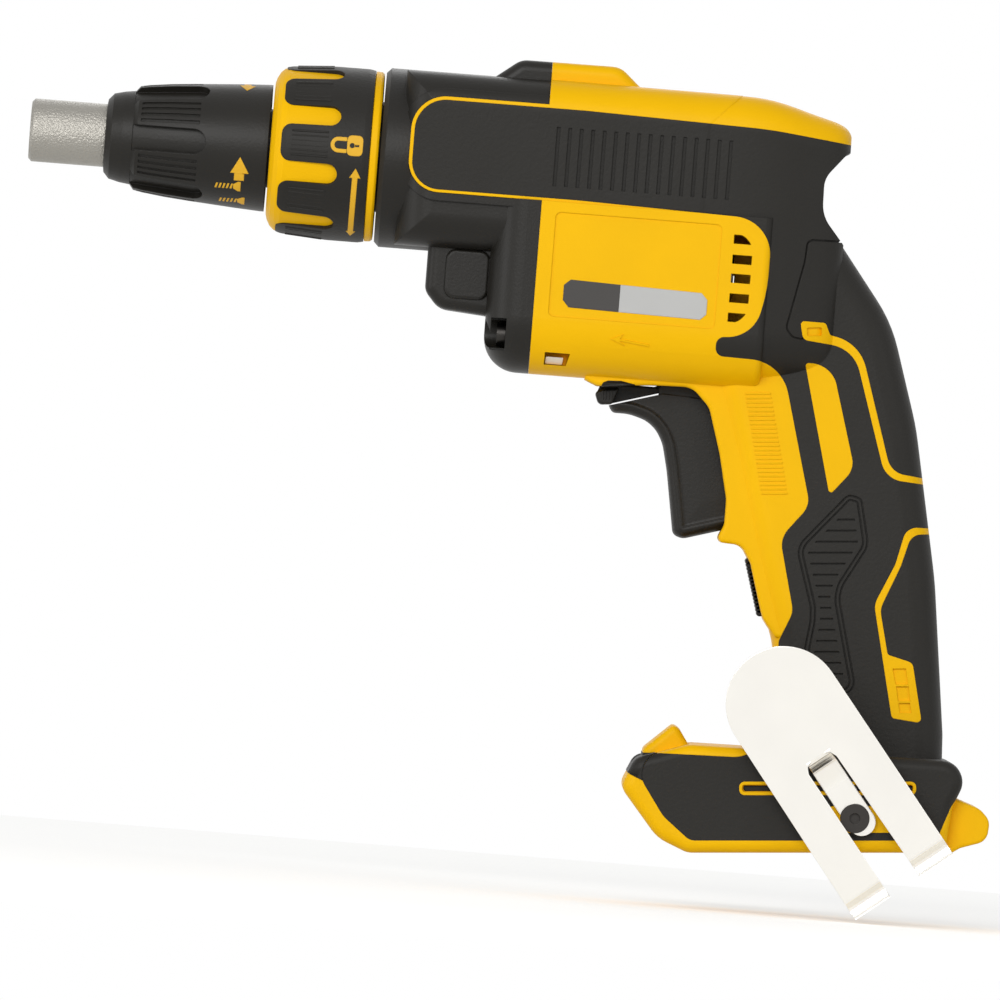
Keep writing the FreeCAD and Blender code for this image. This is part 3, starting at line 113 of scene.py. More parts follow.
def add(tree, kind, values=None, **links):
    """New node. A value goes to a socket, by name or number, or to a setting. A socket as value is linked."""
    node = tree.nodes.new(kind)
    for key, value in (values or {}).items():
        if isinstance(value, bpy.types.NodeSocket):
            tree.links.new(value, node.inputs[key])
        elif isinstance(key, int) or key in node.inputs:
            node.inputs[key].default_value = value
        else:
            setattr(node, key, value)
    for key, source in links.items():
        tree.links.new(source, node.inputs[key.replace("_", " ")])
    return node


YELLOW = "#FAC000"
print("yellow in linear light:", [round(c, 3) for c in linear(YELLOW)[:3]])

# %% [markdown]
# The stage is white all round. A mirror or a polished clip has to see the same white that the camera sees, so
# the world is white for camera, glossy and transmission rays and dimmer for the soft light on the tool.

# %% White surround
SURROUND_LIGHT = 0.37


def seen_by(tree, *kinds):
    """Socket that is 1 for rays of these kinds and 0 for all others."""
    rays = add(tree, "ShaderNodeLightPath").outputs
    seen = rays[kinds[0]]
    for kind in kinds[1:]:
        seen = add(tree, "ShaderNodeMath", {"operation": "MAXIMUM", 0: seen, 1: rays[kind]}).outputs[0]
    return seen


world = bpy.data.worlds.new("studio")
scene.world = world
world.use_nodes = True
sky = world.node_tree
sky.nodes.clear()
looked_at = seen_by(sky, "Is Camera Ray", "Is Glossy Ray", "Is Transmission Ray")
level = add(sky, "ShaderNodeMapRange", {"To Min": SURROUND_LIGHT, "To Max": 1.0}, Value=looked_at)
white = add(sky, "ShaderNodeBackground", {"Color": (1, 1, 1, 1)}, Strength=level.outputs[0])
add(sky, "ShaderNodeOutputWorld", Surface=white.outputs[0])
print("surround lights the tool at", SURROUND_LIGHT)

# %% [markdown]
# The floor is an ordinary pale surface that takes the tool's shadow. A glow that only the camera and mirrors see
# lifts it close to the white of the surround, so that the horizon behind the tool almost vanishes.

# %% Floor
FLOOR_HALF = 0.7
FLOOR_GAP = 1.0
FLOOR_GLOW = 0.42
floor_height = solid_box[0].z - FLOOR_GAP * MM
floor_corners = [(x * FLOOR_HALF, y * FLOOR_HALF, floor_height) for x, y in ((-1, -1), (1, -1), (1, 1), (-1, 1))]
floor_mesh = bpy.data.meshes.new("floor")
floor_mesh.from_pydata(floor_corners, [], [(0, 1, 2, 3)])
floor = bpy.data.objects.new("floor", floor_mesh)
scene.collection.objects.link(floor)
paper = bpy.data.materials.new("studio_paper")
paper.use_nodes = True
sheet = paper.node_tree
sheet.nodes.clear()
looked_at = seen_by(sheet, "Is Camera Ray", "Is Glossy Ray")
glow = add(sheet, "ShaderNodeMapRange", {"To Min": 0.0, "To Max": FLOOR_GLOW}, Value=looked_at)
matt = add(sheet, "ShaderNodeBsdfDiffuse", {"Color": linear("#F4F4F2")})
shine = add(sheet, "ShaderNodeEmission", {"Color": (1, 1, 1, 1)}, Strength=glow.outputs[0])
both = add(sheet, "ShaderNodeAddShader", {0: matt.outputs[0], 1: shine.outputs[0]})
add(sheet, "ShaderNodeOutputMaterial", Surface=both.outputs[0])
floor_mesh.materials.append(paper)
print("floor at", round(floor_height / MM, 1), "mm")

# %% [markdown]
# Four softboxes light the tool as in a catalogue studio. The large one in front gives the even light, two at the
# sides brighten the edges, and one behind keeps the black top from melting into one shape.


# %% Softboxes
def softbox(name, place, width, height, power):
    """Rectangular lamp that faces the middle of the tool."""
    lamp = bpy.data.lights.new(name, "AREA")
    lamp.shape = "RECTANGLE"
    lamp.size, lamp.size_y, lamp.energy = width, height, power
    holder = bpy.data.objects.new(name, lamp)
    scene.collection.objects.link(holder)
    holder.location = place
    holder.rotation_euler = (AIM - Vector(place)).to_track_quat("-Z", "Y").to_euler()


softbox("front_softbox", (-0.5, -2.4, 0.9), 1.6, 1.2, 34.5)
softbox("side_softbox", (1.7, -1.5, 0.5), 0.9, 1.2, 5.0)
softbox("left_softbox", (-2.0, -1.0, -0.1), 0.8, 1.0, 9.0)
softbox("back_softbox", (0.6, 2.2, 1.2), 1.4, 1.0, 8.0)
print("softboxes:", len(bpy.data.lights))

# %% [markdown]
# Every finish on this tool has three things in common. A fine grain scatters the highlight, a slow drift in
# roughness, some centimetres wide, keeps large faces from looking like flat paint, and a rounded-edge normal
# stands for the small radius that every real edge has. One function makes these three.

# %% Grain, drift and rounded edges
EDGE_ROUNDING = 0.35
RELIEF_STRENGTH = 0.6


def grained(name, roughness, drift, grain_mm, grain_detail, relief_mm, cloud_mm, stretch=(1.0, 1.0, 1.0)):
    """Material, its surface node and the slow cloud that its roughness follows."""
    material = bpy.data.materials.new(name)
    material.use_nodes = True
    tree = material.node_tree
    surface = tree.nodes["Principled BSDF"]
    place = add(tree, "ShaderNodeTexCoord").outputs["Object"]
    laid = add(tree, "ShaderNodeMapping", {"Scale": stretch}, Vector=place).outputs[0]
    fine = {"Scale": 1.0 / (grain_mm * MM), "Detail": grain_detail}
    grain = add(tree, "ShaderNodeTexNoise", fine, Vector=laid).outputs["Fac"]
    slow = {"Scale": 1.0 / (cloud_mm * MM), "Detail": 3.0}
    cloud = add(tree, "ShaderNodeTexNoise", slow, Vector=place).outputs["Fac"]
    edge = add(tree, "ShaderNodeBevel", {"samples": 4, "Radius": EDGE_ROUNDING * MM}).outputs[0]
    depth = {"Strength": RELIEF_STRENGTH, "Distance": relief_mm * MM}
    relief = add(tree, "ShaderNodeBump", depth, Height=grain, Normal=edge)
    limits = {"To Min": roughness - drift, "To Max": roughness + drift}
    gloss = add(tree, "ShaderNodeMapRange", limits, Value=cloud)
    tree.links.new(gloss.outputs[0], surface.inputs["Roughness"])
    tree.links.new(relief.outputs[0], surface.inputs["Normal"])
    return material, surface, cloud


print("edges are rounded by", EDGE_ROUNDING, "mm")

# %% [markdown]
# The plastics are moulded in steel tools whose walls were etched by sparks, which leaves a fine, even grain. The
# real grain is about 0.2 mm and too fine to show at this distance, so it is drawn at 0.7 to 1.2 mm. The colour
# drifts a little with the roughness, as pigment does in a moulding.

# %% Moulded plastics
PLASTIC_DRIFT = 0.06
PLASTIC_CLOUD = 24.0
PLASTIC_IOR = 1.5
DARKER, PALER = 0.93, 1.05


def moulded(name, colour, roughness, grain_mm, relief_mm, specular=0.25):
    """Plastic of one colour, with a satin, grained skin."""
    material, surface, cloud = grained(
        name, roughness, PLASTIC_DRIFT, grain_mm, 2.0, relief_mm, PLASTIC_CLOUD,
    )
    tree = material.node_tree
    tint = add(tree, "ShaderNodeMix", {"data_type": "RGBA"}, Factor=cloud)
    tint.inputs[6].default_value = [c * DARKER for c in linear(colour)[:3]] + [1.0]
    tint.inputs[7].default_value = [min(1.0, c * PALER) for c in linear(colour)[:3]] + [1.0]
    tree.links.new(tint.outputs[2], surface.inputs["Base Color"])
    surface.inputs["IOR"].default_value = PLASTIC_IOR
    surface.inputs["Specular IOR Level"].default_value = specular
    return material


# Glass-filled nylon takes colour strongly and stays satin.
yellow_nylon = moulded("yellow_glass_filled_nylon", YELLOW, 0.44, 0.7, 0.02, specular=0.12)
# The same nylon in black looks a touch warmer and duller than ink.
black_nylon = moulded("black_glass_filled_nylon", "#1B1915", 0.42, 0.8, 0.08)
# The soft skin is a thermoplastic rubber: duller, with a coarser grain.
soft_black = moulded("black_soft_rubber_skin", "#1C1A16", 0.52, 0.9, 0.12)
# Natural nylon of the motor's insulators is milky white.
white_nylon = moulded("natural_nylon", "#EDE8DC", 0.5, 0.7, 0.015)
# Green lacquer over glass cloth shines more than bare plastic.
circuit_board = moulded("lacquered_glass_cloth_board", "#1F5A33", 0.35, 1.2, 0.02)
print("plastics:", [m.name for m in (yellow_nylon, black_nylon, soft_black, white_nylon, circuit_board)])

# %% [markdown]
# The metals differ by how they were finished. Where a tool or a stack of sheets leaves lines, the grain is
# stretched to a tenth or a twentieth along them, so that the highlight spreads across the lines.

# %% Metals
METAL_CLOUD = 15.0
ROUND_THE_BARREL = (1.0, 0.05, 0.05)
ALONG_THE_BARREL = (0.1, 1.0, 1.0)


def metal(name, colour, roughness, grain_mm, relief_mm, drift, stretch=(1.0, 1.0, 1.0)):
    """Bare or plated metal of one colour."""
    material, surface, _ = grained(name, roughness, drift, grain_mm, 4.0, relief_mm, METAL_CLOUD, stretch)
    surface.inputs["Base Color"].default_value = linear(colour)
    surface.inputs["Metallic"].default_value = 1.0
    return material


# The nose tube is a tumbled zinc casting: grey, with a grain that sparkles.
cast_zinc = metal("tumbled_zinc_casting", "#9B9891", 0.36, 0.55, 0.6, 0.08)
# Bright nickel on a pressed clip is almost a mirror, with a faint waviness.
bright_nickel = metal("bright_nickel_plate", "#F3F0E9", 0.16, 6.0, 0.01, 0.05)
# Turned steel keeps fine rings round its axis.
turned_steel = metal("turned_steel", "#B4B1AC", 0.3, 0.5, 0.02, 0.05, ROUND_THE_BARREL)
# Black oxide makes the screws dark and keeps them satin.
black_oxide = metal("black_oxide_steel", "#3A3836", 0.38, 0.6, 0.02, 0.06)
# Pressed bronze powder is dull, with open pores.
sintered_bronze = metal("sintered_bronze", "#A67C45", 0.5, 0.5, 0.03, 0.06)
# Wire lies in lines along the motor, and its enamel deepens the copper's red.
enamelled_copper = metal("enamelled_copper_wire", "#B5642F", 0.35, 0.6, 0.04, 0.05, ALONG_THE_BARREL)
# A stator is a stack of thin sheets, and their edges show as rings.
lamination = metal("stacked_electrical_steel", "#77767A", 0.45, 0.5, 0.04, 0.05, ROUND_THE_BARREL)
# Magnets are ground powder: dark grey and flat.
magnet_grey = metal("sintered_magnet", "#5C5B5E", 0.5, 0.5, 0.02, 0.05)
print("metals:", [m.name for m in (cast_zinc, bright_nickel, turned_steel, black_oxide, sintered_bronze)])

# %% [markdown]
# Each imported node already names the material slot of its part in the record. The finish of every node follows
# from that slot, so the inside of the tool is dressed with the same care as the outside.

# %% Finish of every solid
FINISH = {
    "yellow_nylon": yellow_nylon, "black_nylon": black_nylon, "black_soft": soft_black,
    "cast_alloy": cast_zinc, "bright_steel": turned_steel, "nickel_steel": bright_nickel,
    "dark_steel": black_oxide, "bronze": sintered_bronze, "copper": enamelled_copper,
    "lamination": lamination, "magnet": magnet_grey, "white_nylon": white_nylon, "board": circuit_board,
}
for subpart in frame["record"]["subparts"]:
    solid = nodes[subpart["node"]]
    solid.data.materials.clear()
    solid.data.materials.append(FINISH[subpart["material_slot"]])

# %% [markdown]
# Most new pieces start as a flat outline of straight runs and arcs, like a sketch in a drawing program. A finished
# piece rides one body of the tool, so that it moves with it, and takes one material.

# %% Outlines and pieces
CORNER_STEPS = 5
CORNER_SHARE = 0.45


def arc(middle, radius, first, last, steps):
    """Points of an arc between two angles in degrees."""
    turns = [math.radians(first + (last - first) * k / steps) for k in range(steps + 1)]
    return [(middle[0] + radius * math.cos(t), middle[1] + radius * math.sin(t)) for t in turns]


def ring(count, radius, middle=(0.0, 0.0)):
    """Points of a full circle."""
    return arc(middle, radius, 0.0, 360.0, count)[:-1]


def rounded(points, radius):
    """Polygon with each corner replaced by a curve of about the given radius."""
    out = []
    for i, here in enumerate(points):
        here = Vector(here)
        before, after = Vector(points[i - 1]) - here, Vector(points[(i + 1) % len(points)]) - here
        reach = min(radius, before.length * CORNER_SHARE, after.length * CORNER_SHARE)
        first, last = here + before.normalized() * reach, here + after.normalized() * reach
        for k in range(CORNER_STEPS + 1):
            t = k / CORNER_STEPS
            out.append(tuple(first.lerp(here, t).lerp(here.lerp(last, t), t)))
    return out


def placed(name, mesh, body, material):
    """Object of a mesh that rides a body and takes a material."""
    mesh.materials.clear()
    mesh.materials.append(material)
    piece = bpy.data.objects.new(name, mesh)
    scene.collection.objects.link(piece)
    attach(piece, body)
    return piece


def built(name, whole, body, material):
    """The same for a bmesh, which is used up."""
    mesh = bpy.data.meshes.new(name)
    whole.to_mesh(mesh)
    whole.free()
    return placed(name, mesh, body, material)


print("a rounded corner has", CORNER_STEPS, "steps")

# %% [markdown]
# Prints and plates lie on curved solids. Each is drawn flat, as it is seen from the side, and then every point
# is pushed along the view onto the solid below it, like a transfer on a model. A ray cast against the solid's
# own triangles finds the spot. The drawing is first cut into a fine grid, so that it can bend with the surface.

# %% Transfers: flat drawings laid on a solid
GRID = 0.8
FAR_OFF = 0.5
DRAWING_WELD = 1e-4


def drawing(loops, grid=GRID):
    """Filled loops (in mm) on a fine grid, so that they can be bent. Loops inside loops are holes."""
    outline = bpy.data.curves.new("drawing", "CURVE")
    outline.dimensions = "2D"
    outline.fill_mode = "BOTH"
    for loop in loops:
        spline = outline.splines.new("POLY")
        spline.points.add(len(loop) - 1)
        spline.use_cyclic_u = True
        for point, (across, up) in zip(spline.points, loop):
            point.co = (across, up, 0.0, 1.0)
    holder = bpy.data.objects.new("drawing", outline)
    flat = bmesh.new()
    flat.from_mesh(bpy.data.meshes.new_from_object(holder))
    bpy.data.objects.remove(holder)
    bmesh.ops.remove_doubles(flat, verts=flat.verts, dist=DRAWING_WELD)
    for axis in (0, 1):
        values = [v.co[axis] for v in flat.verts]
        normal = Vector((axis == 0, axis == 1, 0))
        for k in range(math.ceil(min(values) / grid), math.floor(max(values) / grid) + 1):
            geometry = flat.verts[:] + flat.edges[:] + flat.faces[:]
            bmesh.ops.bisect_plane(flat, geom=geometry, plane_co=normal * k * grid, plane_no=normal)
    bmesh.ops.triangulate(flat, faces=flat.faces)
    return flat


def transfer(name, loops, solid, body, material, lift, thickness, side=-1):
    """Thin solid in the shape of the loops (x, z in mm), laid on the left (-1) or right (1) of a solid."""
    flat = drawing(loops)
    points = [v.co for v in solid.data.vertices]
    tree = BVHTree.FromPolygons(points, [p.vertices[:] for p in solid.data.polygons])
    misses = 0
    for v in flat.verts:
        start = Vector((v.co.x * MM, side * FAR_OFF, v.co.y * MM))
        spot, normal, _, _ = tree.ray_cast(start, Vector((0.0, -side, 0.0)))
        if spot is None:
            misses += 1
            spot, normal, _, _ = tree.find_nearest(Vector((v.co.x * MM, 0.0, v.co.y * MM)))
        v.co = spot + normal * lift * MM
    for face in flat.faces:
        face.normal_update()
        if face.normal.y * side < 0:
            face.normal_flip()
    bmesh.ops.solidify(flat, geom=flat.faces[:], thickness=thickness * MM)
    piece = built(name, flat, body, material)
    print(name, len(piece.data.polygons), "triangles,", misses, "points off the solid")
    return piece


print("a drawing is cut every", GRID, "mm")

# %% [markdown]
# The pod's side carries a printed plate under the name panel. Here it stays bare: a dark third and a pale grey
# rest, in two thin foils that meet in a straight line. A foil is paint on film, so it is smoother than the nylon.

# %% Bare rating plate
FOIL_LIFT, FOIL = 0.12, 0.15
foil_dark = moulded("dark_printed_foil", "#35322F", 0.36, 1.2, 0.008, specular=0.45)
foil_pale = moulded("grey_printed_foil", "#BDBDBB", 0.38, 1.2, 0.008, specular=0.45)
seam_top, seam_foot = (174.0, -31.75), (174.0, -39.65)
left_end = [seam_top, (159.6, -31.35), (157.7, -33.0), (157.7, -37.4), (159.5, -39.4), seam_foot]
right_end = [seam_top, seam_foot, (197.6, -40.0), (199.3, -38.4), (199.3, -34.2), (197.5, -32.3)]
for name, loop, slot, foil in (
    ("plate_dark_end", left_end, "black_nylon", foil_dark), ("plate_pale_end", right_end, "bright_steel", foil_pale),
):
    transfer(name, [loop], nodes["left_housing"], "housing", foil, FOIL_LIFT, FOIL)

# %% [markdown]
# The lock collar is moulded in two shots, and the yellow nylon ring comes first. Its profile is turned round the
# barrel: a rounded front lip, a bed for the rubber, and a raised ring at the back that stays bare.

# %% Lock collar: the yellow ring
YELLOW_RADIUS = 24.0
ring_profile = [
    (69.9, 11.6), (69.9, 19.2), (70.3, 20.6), (71.2, 22.3), (72.4, 23.4), (74.0, YELLOW_RADIUS),
    (98.8, YELLOW_RADIUS), (98.9, 24.7), (100.6, 24.6), (101.2, 24.1), (101.3, 23.2), (101.3, 18.6), (73.0, 18.6),
    (73.0, 11.6),
]


def on_barrel(x, radius, turn):
    """Place in mm at a radius and an angle round the barrel, from the left side upwards."""
    return Vector((x, -radius * math.cos(turn), radius * math.sin(turn)))


def turned(profile, steps=144):
    """Closed profile of (x, radius) in mm, turned round the barrel."""
    whole = bmesh.new()
    rows = []
    for i in range(steps):
        turn = 2 * math.pi * i / steps
        rows.append([whole.verts.new(on_barrel(x, radius, turn) * MM) for x, radius in profile])
    for i in range(steps):
        for k in range(len(profile)):
            whole.faces.new((rows[i - 1][k - 1], rows[i - 1][k], rows[i][k], rows[i][k - 1]))
    bmesh.ops.recalc_face_normals(whole, faces=whole.faces)
    return whole


collar_ring = built("collar_ring", turned(ring_profile), "collar", yellow_nylon)
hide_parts("lock_collar")
print("collar ring:", len(collar_ring.data.polygons), "faces")

# %% [markdown]
# The black rubber is shot over the ring in nine pads that run together at the back. The pads are drawn unrolled, as
# a flat strip of one ninth of the ring, bent round the barrel and repeated. Their rounded corners leave the
# yellow fingers between them.

# %% Lock collar: the black rubber
PADS = 9
FIRST_FINGER = 24.8
FINGER_HALF, FINGER_TIP, CORNER = 3.0, 86.8, 2.8
RUBBER_START, RUBBER_END, RUBBER = 73.0, 98.7, 1.3
PAD_WELD = 0.02
RUBBER_TOP = [(72.0, 23.7), (74.6, 24.3), (87.5, 25.2), (97.0, 25.2), (99.0, 24.8)]


def between(table, x):
    """Value at x of a table of (x, value), with straight runs between the rows."""
    for (x0, r0), (x1, r1) in zip(table, table[1:]):
        if x <= x1:
            return r0 + (r1 - r0) * (x - x0) / (x1 - x0)
    return table[-1][1]


strip_half = math.pi * YELLOW_RADIUS / PADS
pad_half = strip_half - FINGER_HALF
tip_arc = arc((FINGER_TIP, strip_half), FINGER_HALF, 0.0, -90.0, 6)
corner_arc = arc((RUBBER_START + CORNER, pad_half - CORNER), CORNER, 90.0, 180.0, 6)
upper = [(RUBBER_END, strip_half)] + tip_arc + corner_arc
pads = drawing([upper + [(x, -s) for x, s in reversed(upper)]])
pad_middle = math.radians(FIRST_FINGER - 180.0 / PADS)
for v in pads.verts:
    v.co = on_barrel(v.co.x, between(RUBBER_TOP, v.co.x), pad_middle + v.co.y / YELLOW_RADIUS) * MM
bmesh.ops.spin(
    pads, geom=pads.verts[:] + pads.edges[:] + pads.faces[:], cent=(0, 0, 0), axis=(1, 0, 0),
    angle=math.radians(360 - 360 / PADS), steps=PADS - 1, use_duplicate=True,
)
bmesh.ops.remove_doubles(pads, verts=pads.verts, dist=PAD_WELD * MM)
for face in pads.faces:
    face.normal_update()
    middle = face.calc_center_median()
    if face.normal.y * middle.y + face.normal.z * middle.z < 0:
        face.normal_flip()
bmesh.ops.solidify(pads, geom=pads.faces[:], thickness=RUBBER * MM)
rubber = built("collar_rubber", pads, "collar", soft_black)
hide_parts("collar_grip")
print("collar rubber:", len(rubber.data.polygons), "faces")

# %% [markdown]
# Three kinds of sign help the user: a padlock and a double arrow on the collar, for locking and for turning, and
# arrows with two screw pictures on the cone, for a deeper or shallower stop. They are pad-printed in yellow ink
# on black rubber and nylon, so they are thin, slightly raised and a little duller than the moulded yellow.

# %% Printed signs on the collar
INK_LIFT, INK = 0.05, 0.1
LOCK_X, LOCK_Z = 92.1, 2.3
BOW_MIDDLE, BOW_OUTER, BOW_INNER, BOW_END = (-2.5, 0.0), 2.3, 1.15, -0.05
ink = moulded("yellow_pad_printing_ink", "#E9B327", 0.5, 0.9, 0.01, specular=0.3)


def printed(name, loops, solid, body):
    """Sign in yellow ink on the left of a solid."""
    transfer(name, loops, solid, body, ink, INK_LIFT, INK)


lock_body = rounded([(0.0, -3.0), (4.6, -3.0), (4.6, 3.0), (0.0, 3.0)], 1.6)
keyhole = ring(14, 0.75, (1.5, 0.0))
key_slot = [(2.1, -0.3), (3.5, -0.3), (3.5, 0.3), (2.1, 0.3)]
outer_bow = [(BOW_END, BOW_OUTER)] + arc(BOW_MIDDLE, BOW_OUTER, 90.0, 270.0, 14) + [(BOW_END, -BOW_OUTER)]
inner_bow = [(BOW_END, -BOW_INNER)] + arc(BOW_MIDDLE, BOW_INNER, 270.0, 90.0, 14) + [(BOW_END, BOW_INNER)]
for name, loops in (
    ("lock_sign_body", (lock_body, keyhole, key_slot)), ("lock_sign_shackle", (outer_bow + inner_bow,)),
):
    printed(name, [[(LOCK_X + a, LOCK_Z + b) for a, b in loop] for loop in loops], rubber, "collar")
double_arrow = [
    (95.1, -4.2), (96.7, -7.0), (95.85, -7.0), (95.65, -22.2), (96.3, -22.2), (94.85, -23.5), (93.5, -22.2),
    (94.05, -22.2), (94.25, -7.0), (93.4, -7.0),
]
printed("turning_arrow", [double_arrow], rubber, "collar")

# %% [markdown]
# On the cone each screw is drawn the way a packet shows it: five slanted strokes for the thread and a countersunk
# head. One function draws both, from a place, a length and a height.


# %% Printed signs on the cone
def screw_sign(x, z, length, height):
    """Side view of a screw: slanted thread strokes and a countersunk head at the right."""
    pitch, half = length * 0.14, height * 0.26
    loops = []
    for i in range(5):
        low = x + pitch * (i + 0.2)
        top = [(low + pitch * 0.95, z + half), (low + pitch * 0.4, z + half)]
        loops.append([(low, z - half), (low + pitch * 0.55, z - half)] + top)
    neck, rim, end = x + length * 0.72, x + length * 0.9, x + length
    lower = [(neck, z - height * 0.22), (rim, z - height * 0.5), (end, z - height * 0.5)]
    loops.append(lower + [(a, 2 * z - b) for a, b in reversed(lower)])
    return loops


up_arrow = [(61.5, -3.4), (64.3, -8.1), (63.0, -8.1), (63.0, -10.2), (60.1, -10.2), (60.1, -8.1), (58.9, -8.1)]
down_arrow = [(61.9, 16.0), (64.3, 17.5), (63.0, 17.5), (63.0, 17.9), (60.9, 17.9), (60.9, 17.5), (59.6, 17.5)]
for name, loops in (
    ("depth_arrow_up", [up_arrow]), ("depth_arrow_down", [down_arrow]),
    ("screw_sign_flush", screw_sign(54.4, -11.9, 7.8, 2.7)), ("screw_sign_proud", screw_sign(55.8, -15.9, 7.8, 1.9)),
):
    printed(name, loops, nodes["nose_cone"], "depth_cone")

# %% [markdown]
# The trigger, the clip and some small pieces are thick shapes with a clear side view. One function spans a solid
# between two places of the same loop, and a simpler one does so straight across the tool.


# %% Solids from a side view
def bent_path(points, radius):
    """Open path with its inner corners rounded."""
    return points[:1] + rounded(points, radius)[CORNER_STEPS + 1:-CORNER_STEPS - 1] + points[-1:]


def prism(whole, loop, near, far):
    """Solid between two places of a closed loop, each given as a function from loop point to millimetres."""
    starts = [whole.verts.new(Vector(near(*point)) * MM) for point in loop]
    ends = [whole.verts.new(Vector(far(*point)) * MM) for point in loop]
    faces = [whole.faces.new(starts), whole.faces.new(ends[::-1])]
    for i in range(len(loop)):
        faces.append(whole.faces.new((starts[i - 1], starts[i], ends[i], ends[i - 1])))
    bmesh.ops.recalc_face_normals(whole, faces=faces)


def slab(whole, loop, near, far):
    """Solid of a loop of (x, z) between two distances across the tool."""
    prism(whole, loop, lambda x, z: (x, near, z), lambda x, z: (x, far, z))


print("ways to a solid:", [way.__name__ for way in (prism, slab)])

# %% [markdown]
# The trigger is one nylon moulding. Its front rolls over towards the finger, and a shallow step behind the roll
# runs down to the heel. Bevelling the solid would round every edge alike, so the side view is drawn once, each
# point is pushed out by its distance from the front edge, and the two sides are joined round the rim.

# %% Trigger with a rolled front
BLADE_GRID = 0.4
ROLL = [
    (0.0, 5.0), (0.2, 6.0), (0.5, 6.8), (1.0, 7.5), (1.7, 8.1), (2.4, 8.35), (2.9, 8.3), (3.3, 8.0), (3.8, 7.75),
    (9.0, 7.9),
]
front_edge = [
    (173.4, -66.6), (174.6, -68.6), (179.5, -68.6), (184.6, -70.1), (187.6, -72.5), (189.8, -76.2), (191.7, -84.2),
    (194.8, -102.4), (197.6, -103.5), (210.3, -99.7),
]
rolled_edge = bent_path(front_edge, 2.0)
back_edge = [(210.2, -93.0), (208.0, -80.0), (203.0, -64.5), (201.0, -62.6), (189.0, -62.0)]
spans = [(Vector(a), Vector(b) - Vector(a)) for a, b in zip(rolled_edge, rolled_edge[1:])]


def from_edge(here):
    """Distance of a point from the rolled edge."""
    shares = [min(1.0, max(0.0, (here - a).dot(d) / d.length_squared)) for a, d in spans]
    return min((here - a - d * share).length for (a, d), share in zip(spans, shares))


blade = bmesh.new()
side_view = drawing([rolled_edge + back_edge], BLADE_GRID)
side_view.verts.index_update()
sides = {-1: [], 1: []}
for v in side_view.verts:
    half_width = between(ROLL, from_edge(v.co.xy))
    for side, verts in sides.items():
        verts.append(blade.verts.new(Vector((v.co.x, side * half_width, v.co.y)) * MM))
for face in side_view.faces:
    for verts in sides.values():
        blade.faces.new([verts[v.index] for v in face.verts])
for edge in side_view.edges:
    if edge.is_boundary:
        first, last = (v.index for v in edge.verts)
        blade.faces.new((sides[-1][first], sides[-1][last], sides[1][last], sides[1][first]))
side_view.free()
for face in blade.faces:
    face.smooth = True
bmesh.ops.recalc_face_normals(blade, faces=blade.faces)
print("blade:", len(blade.faces), "faces")

# %% [markdown]
# Inside the handle the blade has a flat cheek on each side, which keeps it straight in its slot, and a round stem
# that pushes the switch. The stem points along the trigger's path, which rises by 19 degrees.

# %% Trigger's cheeks and stem
CHEEK_IN, CHEEK_OUT = 6.6, 7.6
PULL_RISE = math.radians(19.0)
STEM_X, STEM_Z, STEM_RADIUS, STEM_LENGTH = 204.0, -80.0, 2.5, 22.0
cheek_corners = [(187.6, -59.7), (187.6, -64.5), (200.0, -70.0), (206.0, -70.0), (204.4, -63.0), (198.0, -58.9)]
for side in (-1, 1):
    slab(blade, rounded(cheek_corners, 1.2), side * CHEEK_IN, side * CHEEK_OUT)
rise, run = math.sin(PULL_RISE), math.cos(PULL_RISE)
prism(
    blade, ring(24, STEM_RADIUS), lambda a, b: (STEM_X - a * rise, b, STEM_Z + a * run),
    lambda a, b: (STEM_X - a * rise + STEM_LENGTH * run, b, STEM_Z + a * run + STEM_LENGTH * rise),
)
trigger_blade = built("trigger_blade", blade, "trigger", black_nylon)
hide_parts("trigger")
print("trigger:", len(trigger_blade.data.polygons), "faces")

# %% [markdown]
# The belt clip is a strip of spring steel, stamped, bent in a press and nickel-plated. Its head is a half circle,
# a tongue is pushed in from its slot to take the screw, and each leg ends in a small hook that flares out again.
# It is drawn flat, along and across the clip, then every point is turned to the clip's slant on the foot.

# %% Belt clip
CLIP_X, CLIP_Z, CLIP_FACE, SHEET = 253.3, -179.9, -45.6, 1.8
CLIP_SLANT = math.radians(51.8)
HEAD_MIDDLE, HEAD_RADIUS = (-38.9, 1.2), 16.7
LEG_END = 18.0
LEGS = ((-16.1, -4.0), (6.2, 17.9))
BEND = 2.4
DROP = 8.6 - SHEET
TONGUE_END, TONGUE_MIDDLE, TONGUE_HALF = 2.0, 1.1, 4.0


def on_clip(run, depth, across):
    """Place on the tool of a point on the clip: along it, in from its outer face, and across it."""
    x = CLIP_X + run * math.cos(CLIP_SLANT) + across * math.sin(CLIP_SLANT)
    return (x, CLIP_FACE + depth, CLIP_Z - run * math.sin(CLIP_SLANT) + across * math.cos(CLIP_SLANT))


def flat_sheet(whole, loop, depth):
    """Flat piece of the sheet in the shape of a loop of (along, across)."""
    prism(whole, loop, lambda a, b: on_clip(a, depth, b), lambda a, b: on_clip(a, depth + SHEET, b))


def bent_sheet(whole, path, low, high):
    """Sheet bent along a path of (along, depth), between two places across the clip."""
    outer = bent_path(path, BEND)
    loop = outer + [(a, depth + SHEET) for a, depth in reversed(outer)]
    prism(whole, loop, lambda a, depth: on_clip(a, depth, low), lambda a, depth: on_clip(a, depth, high))


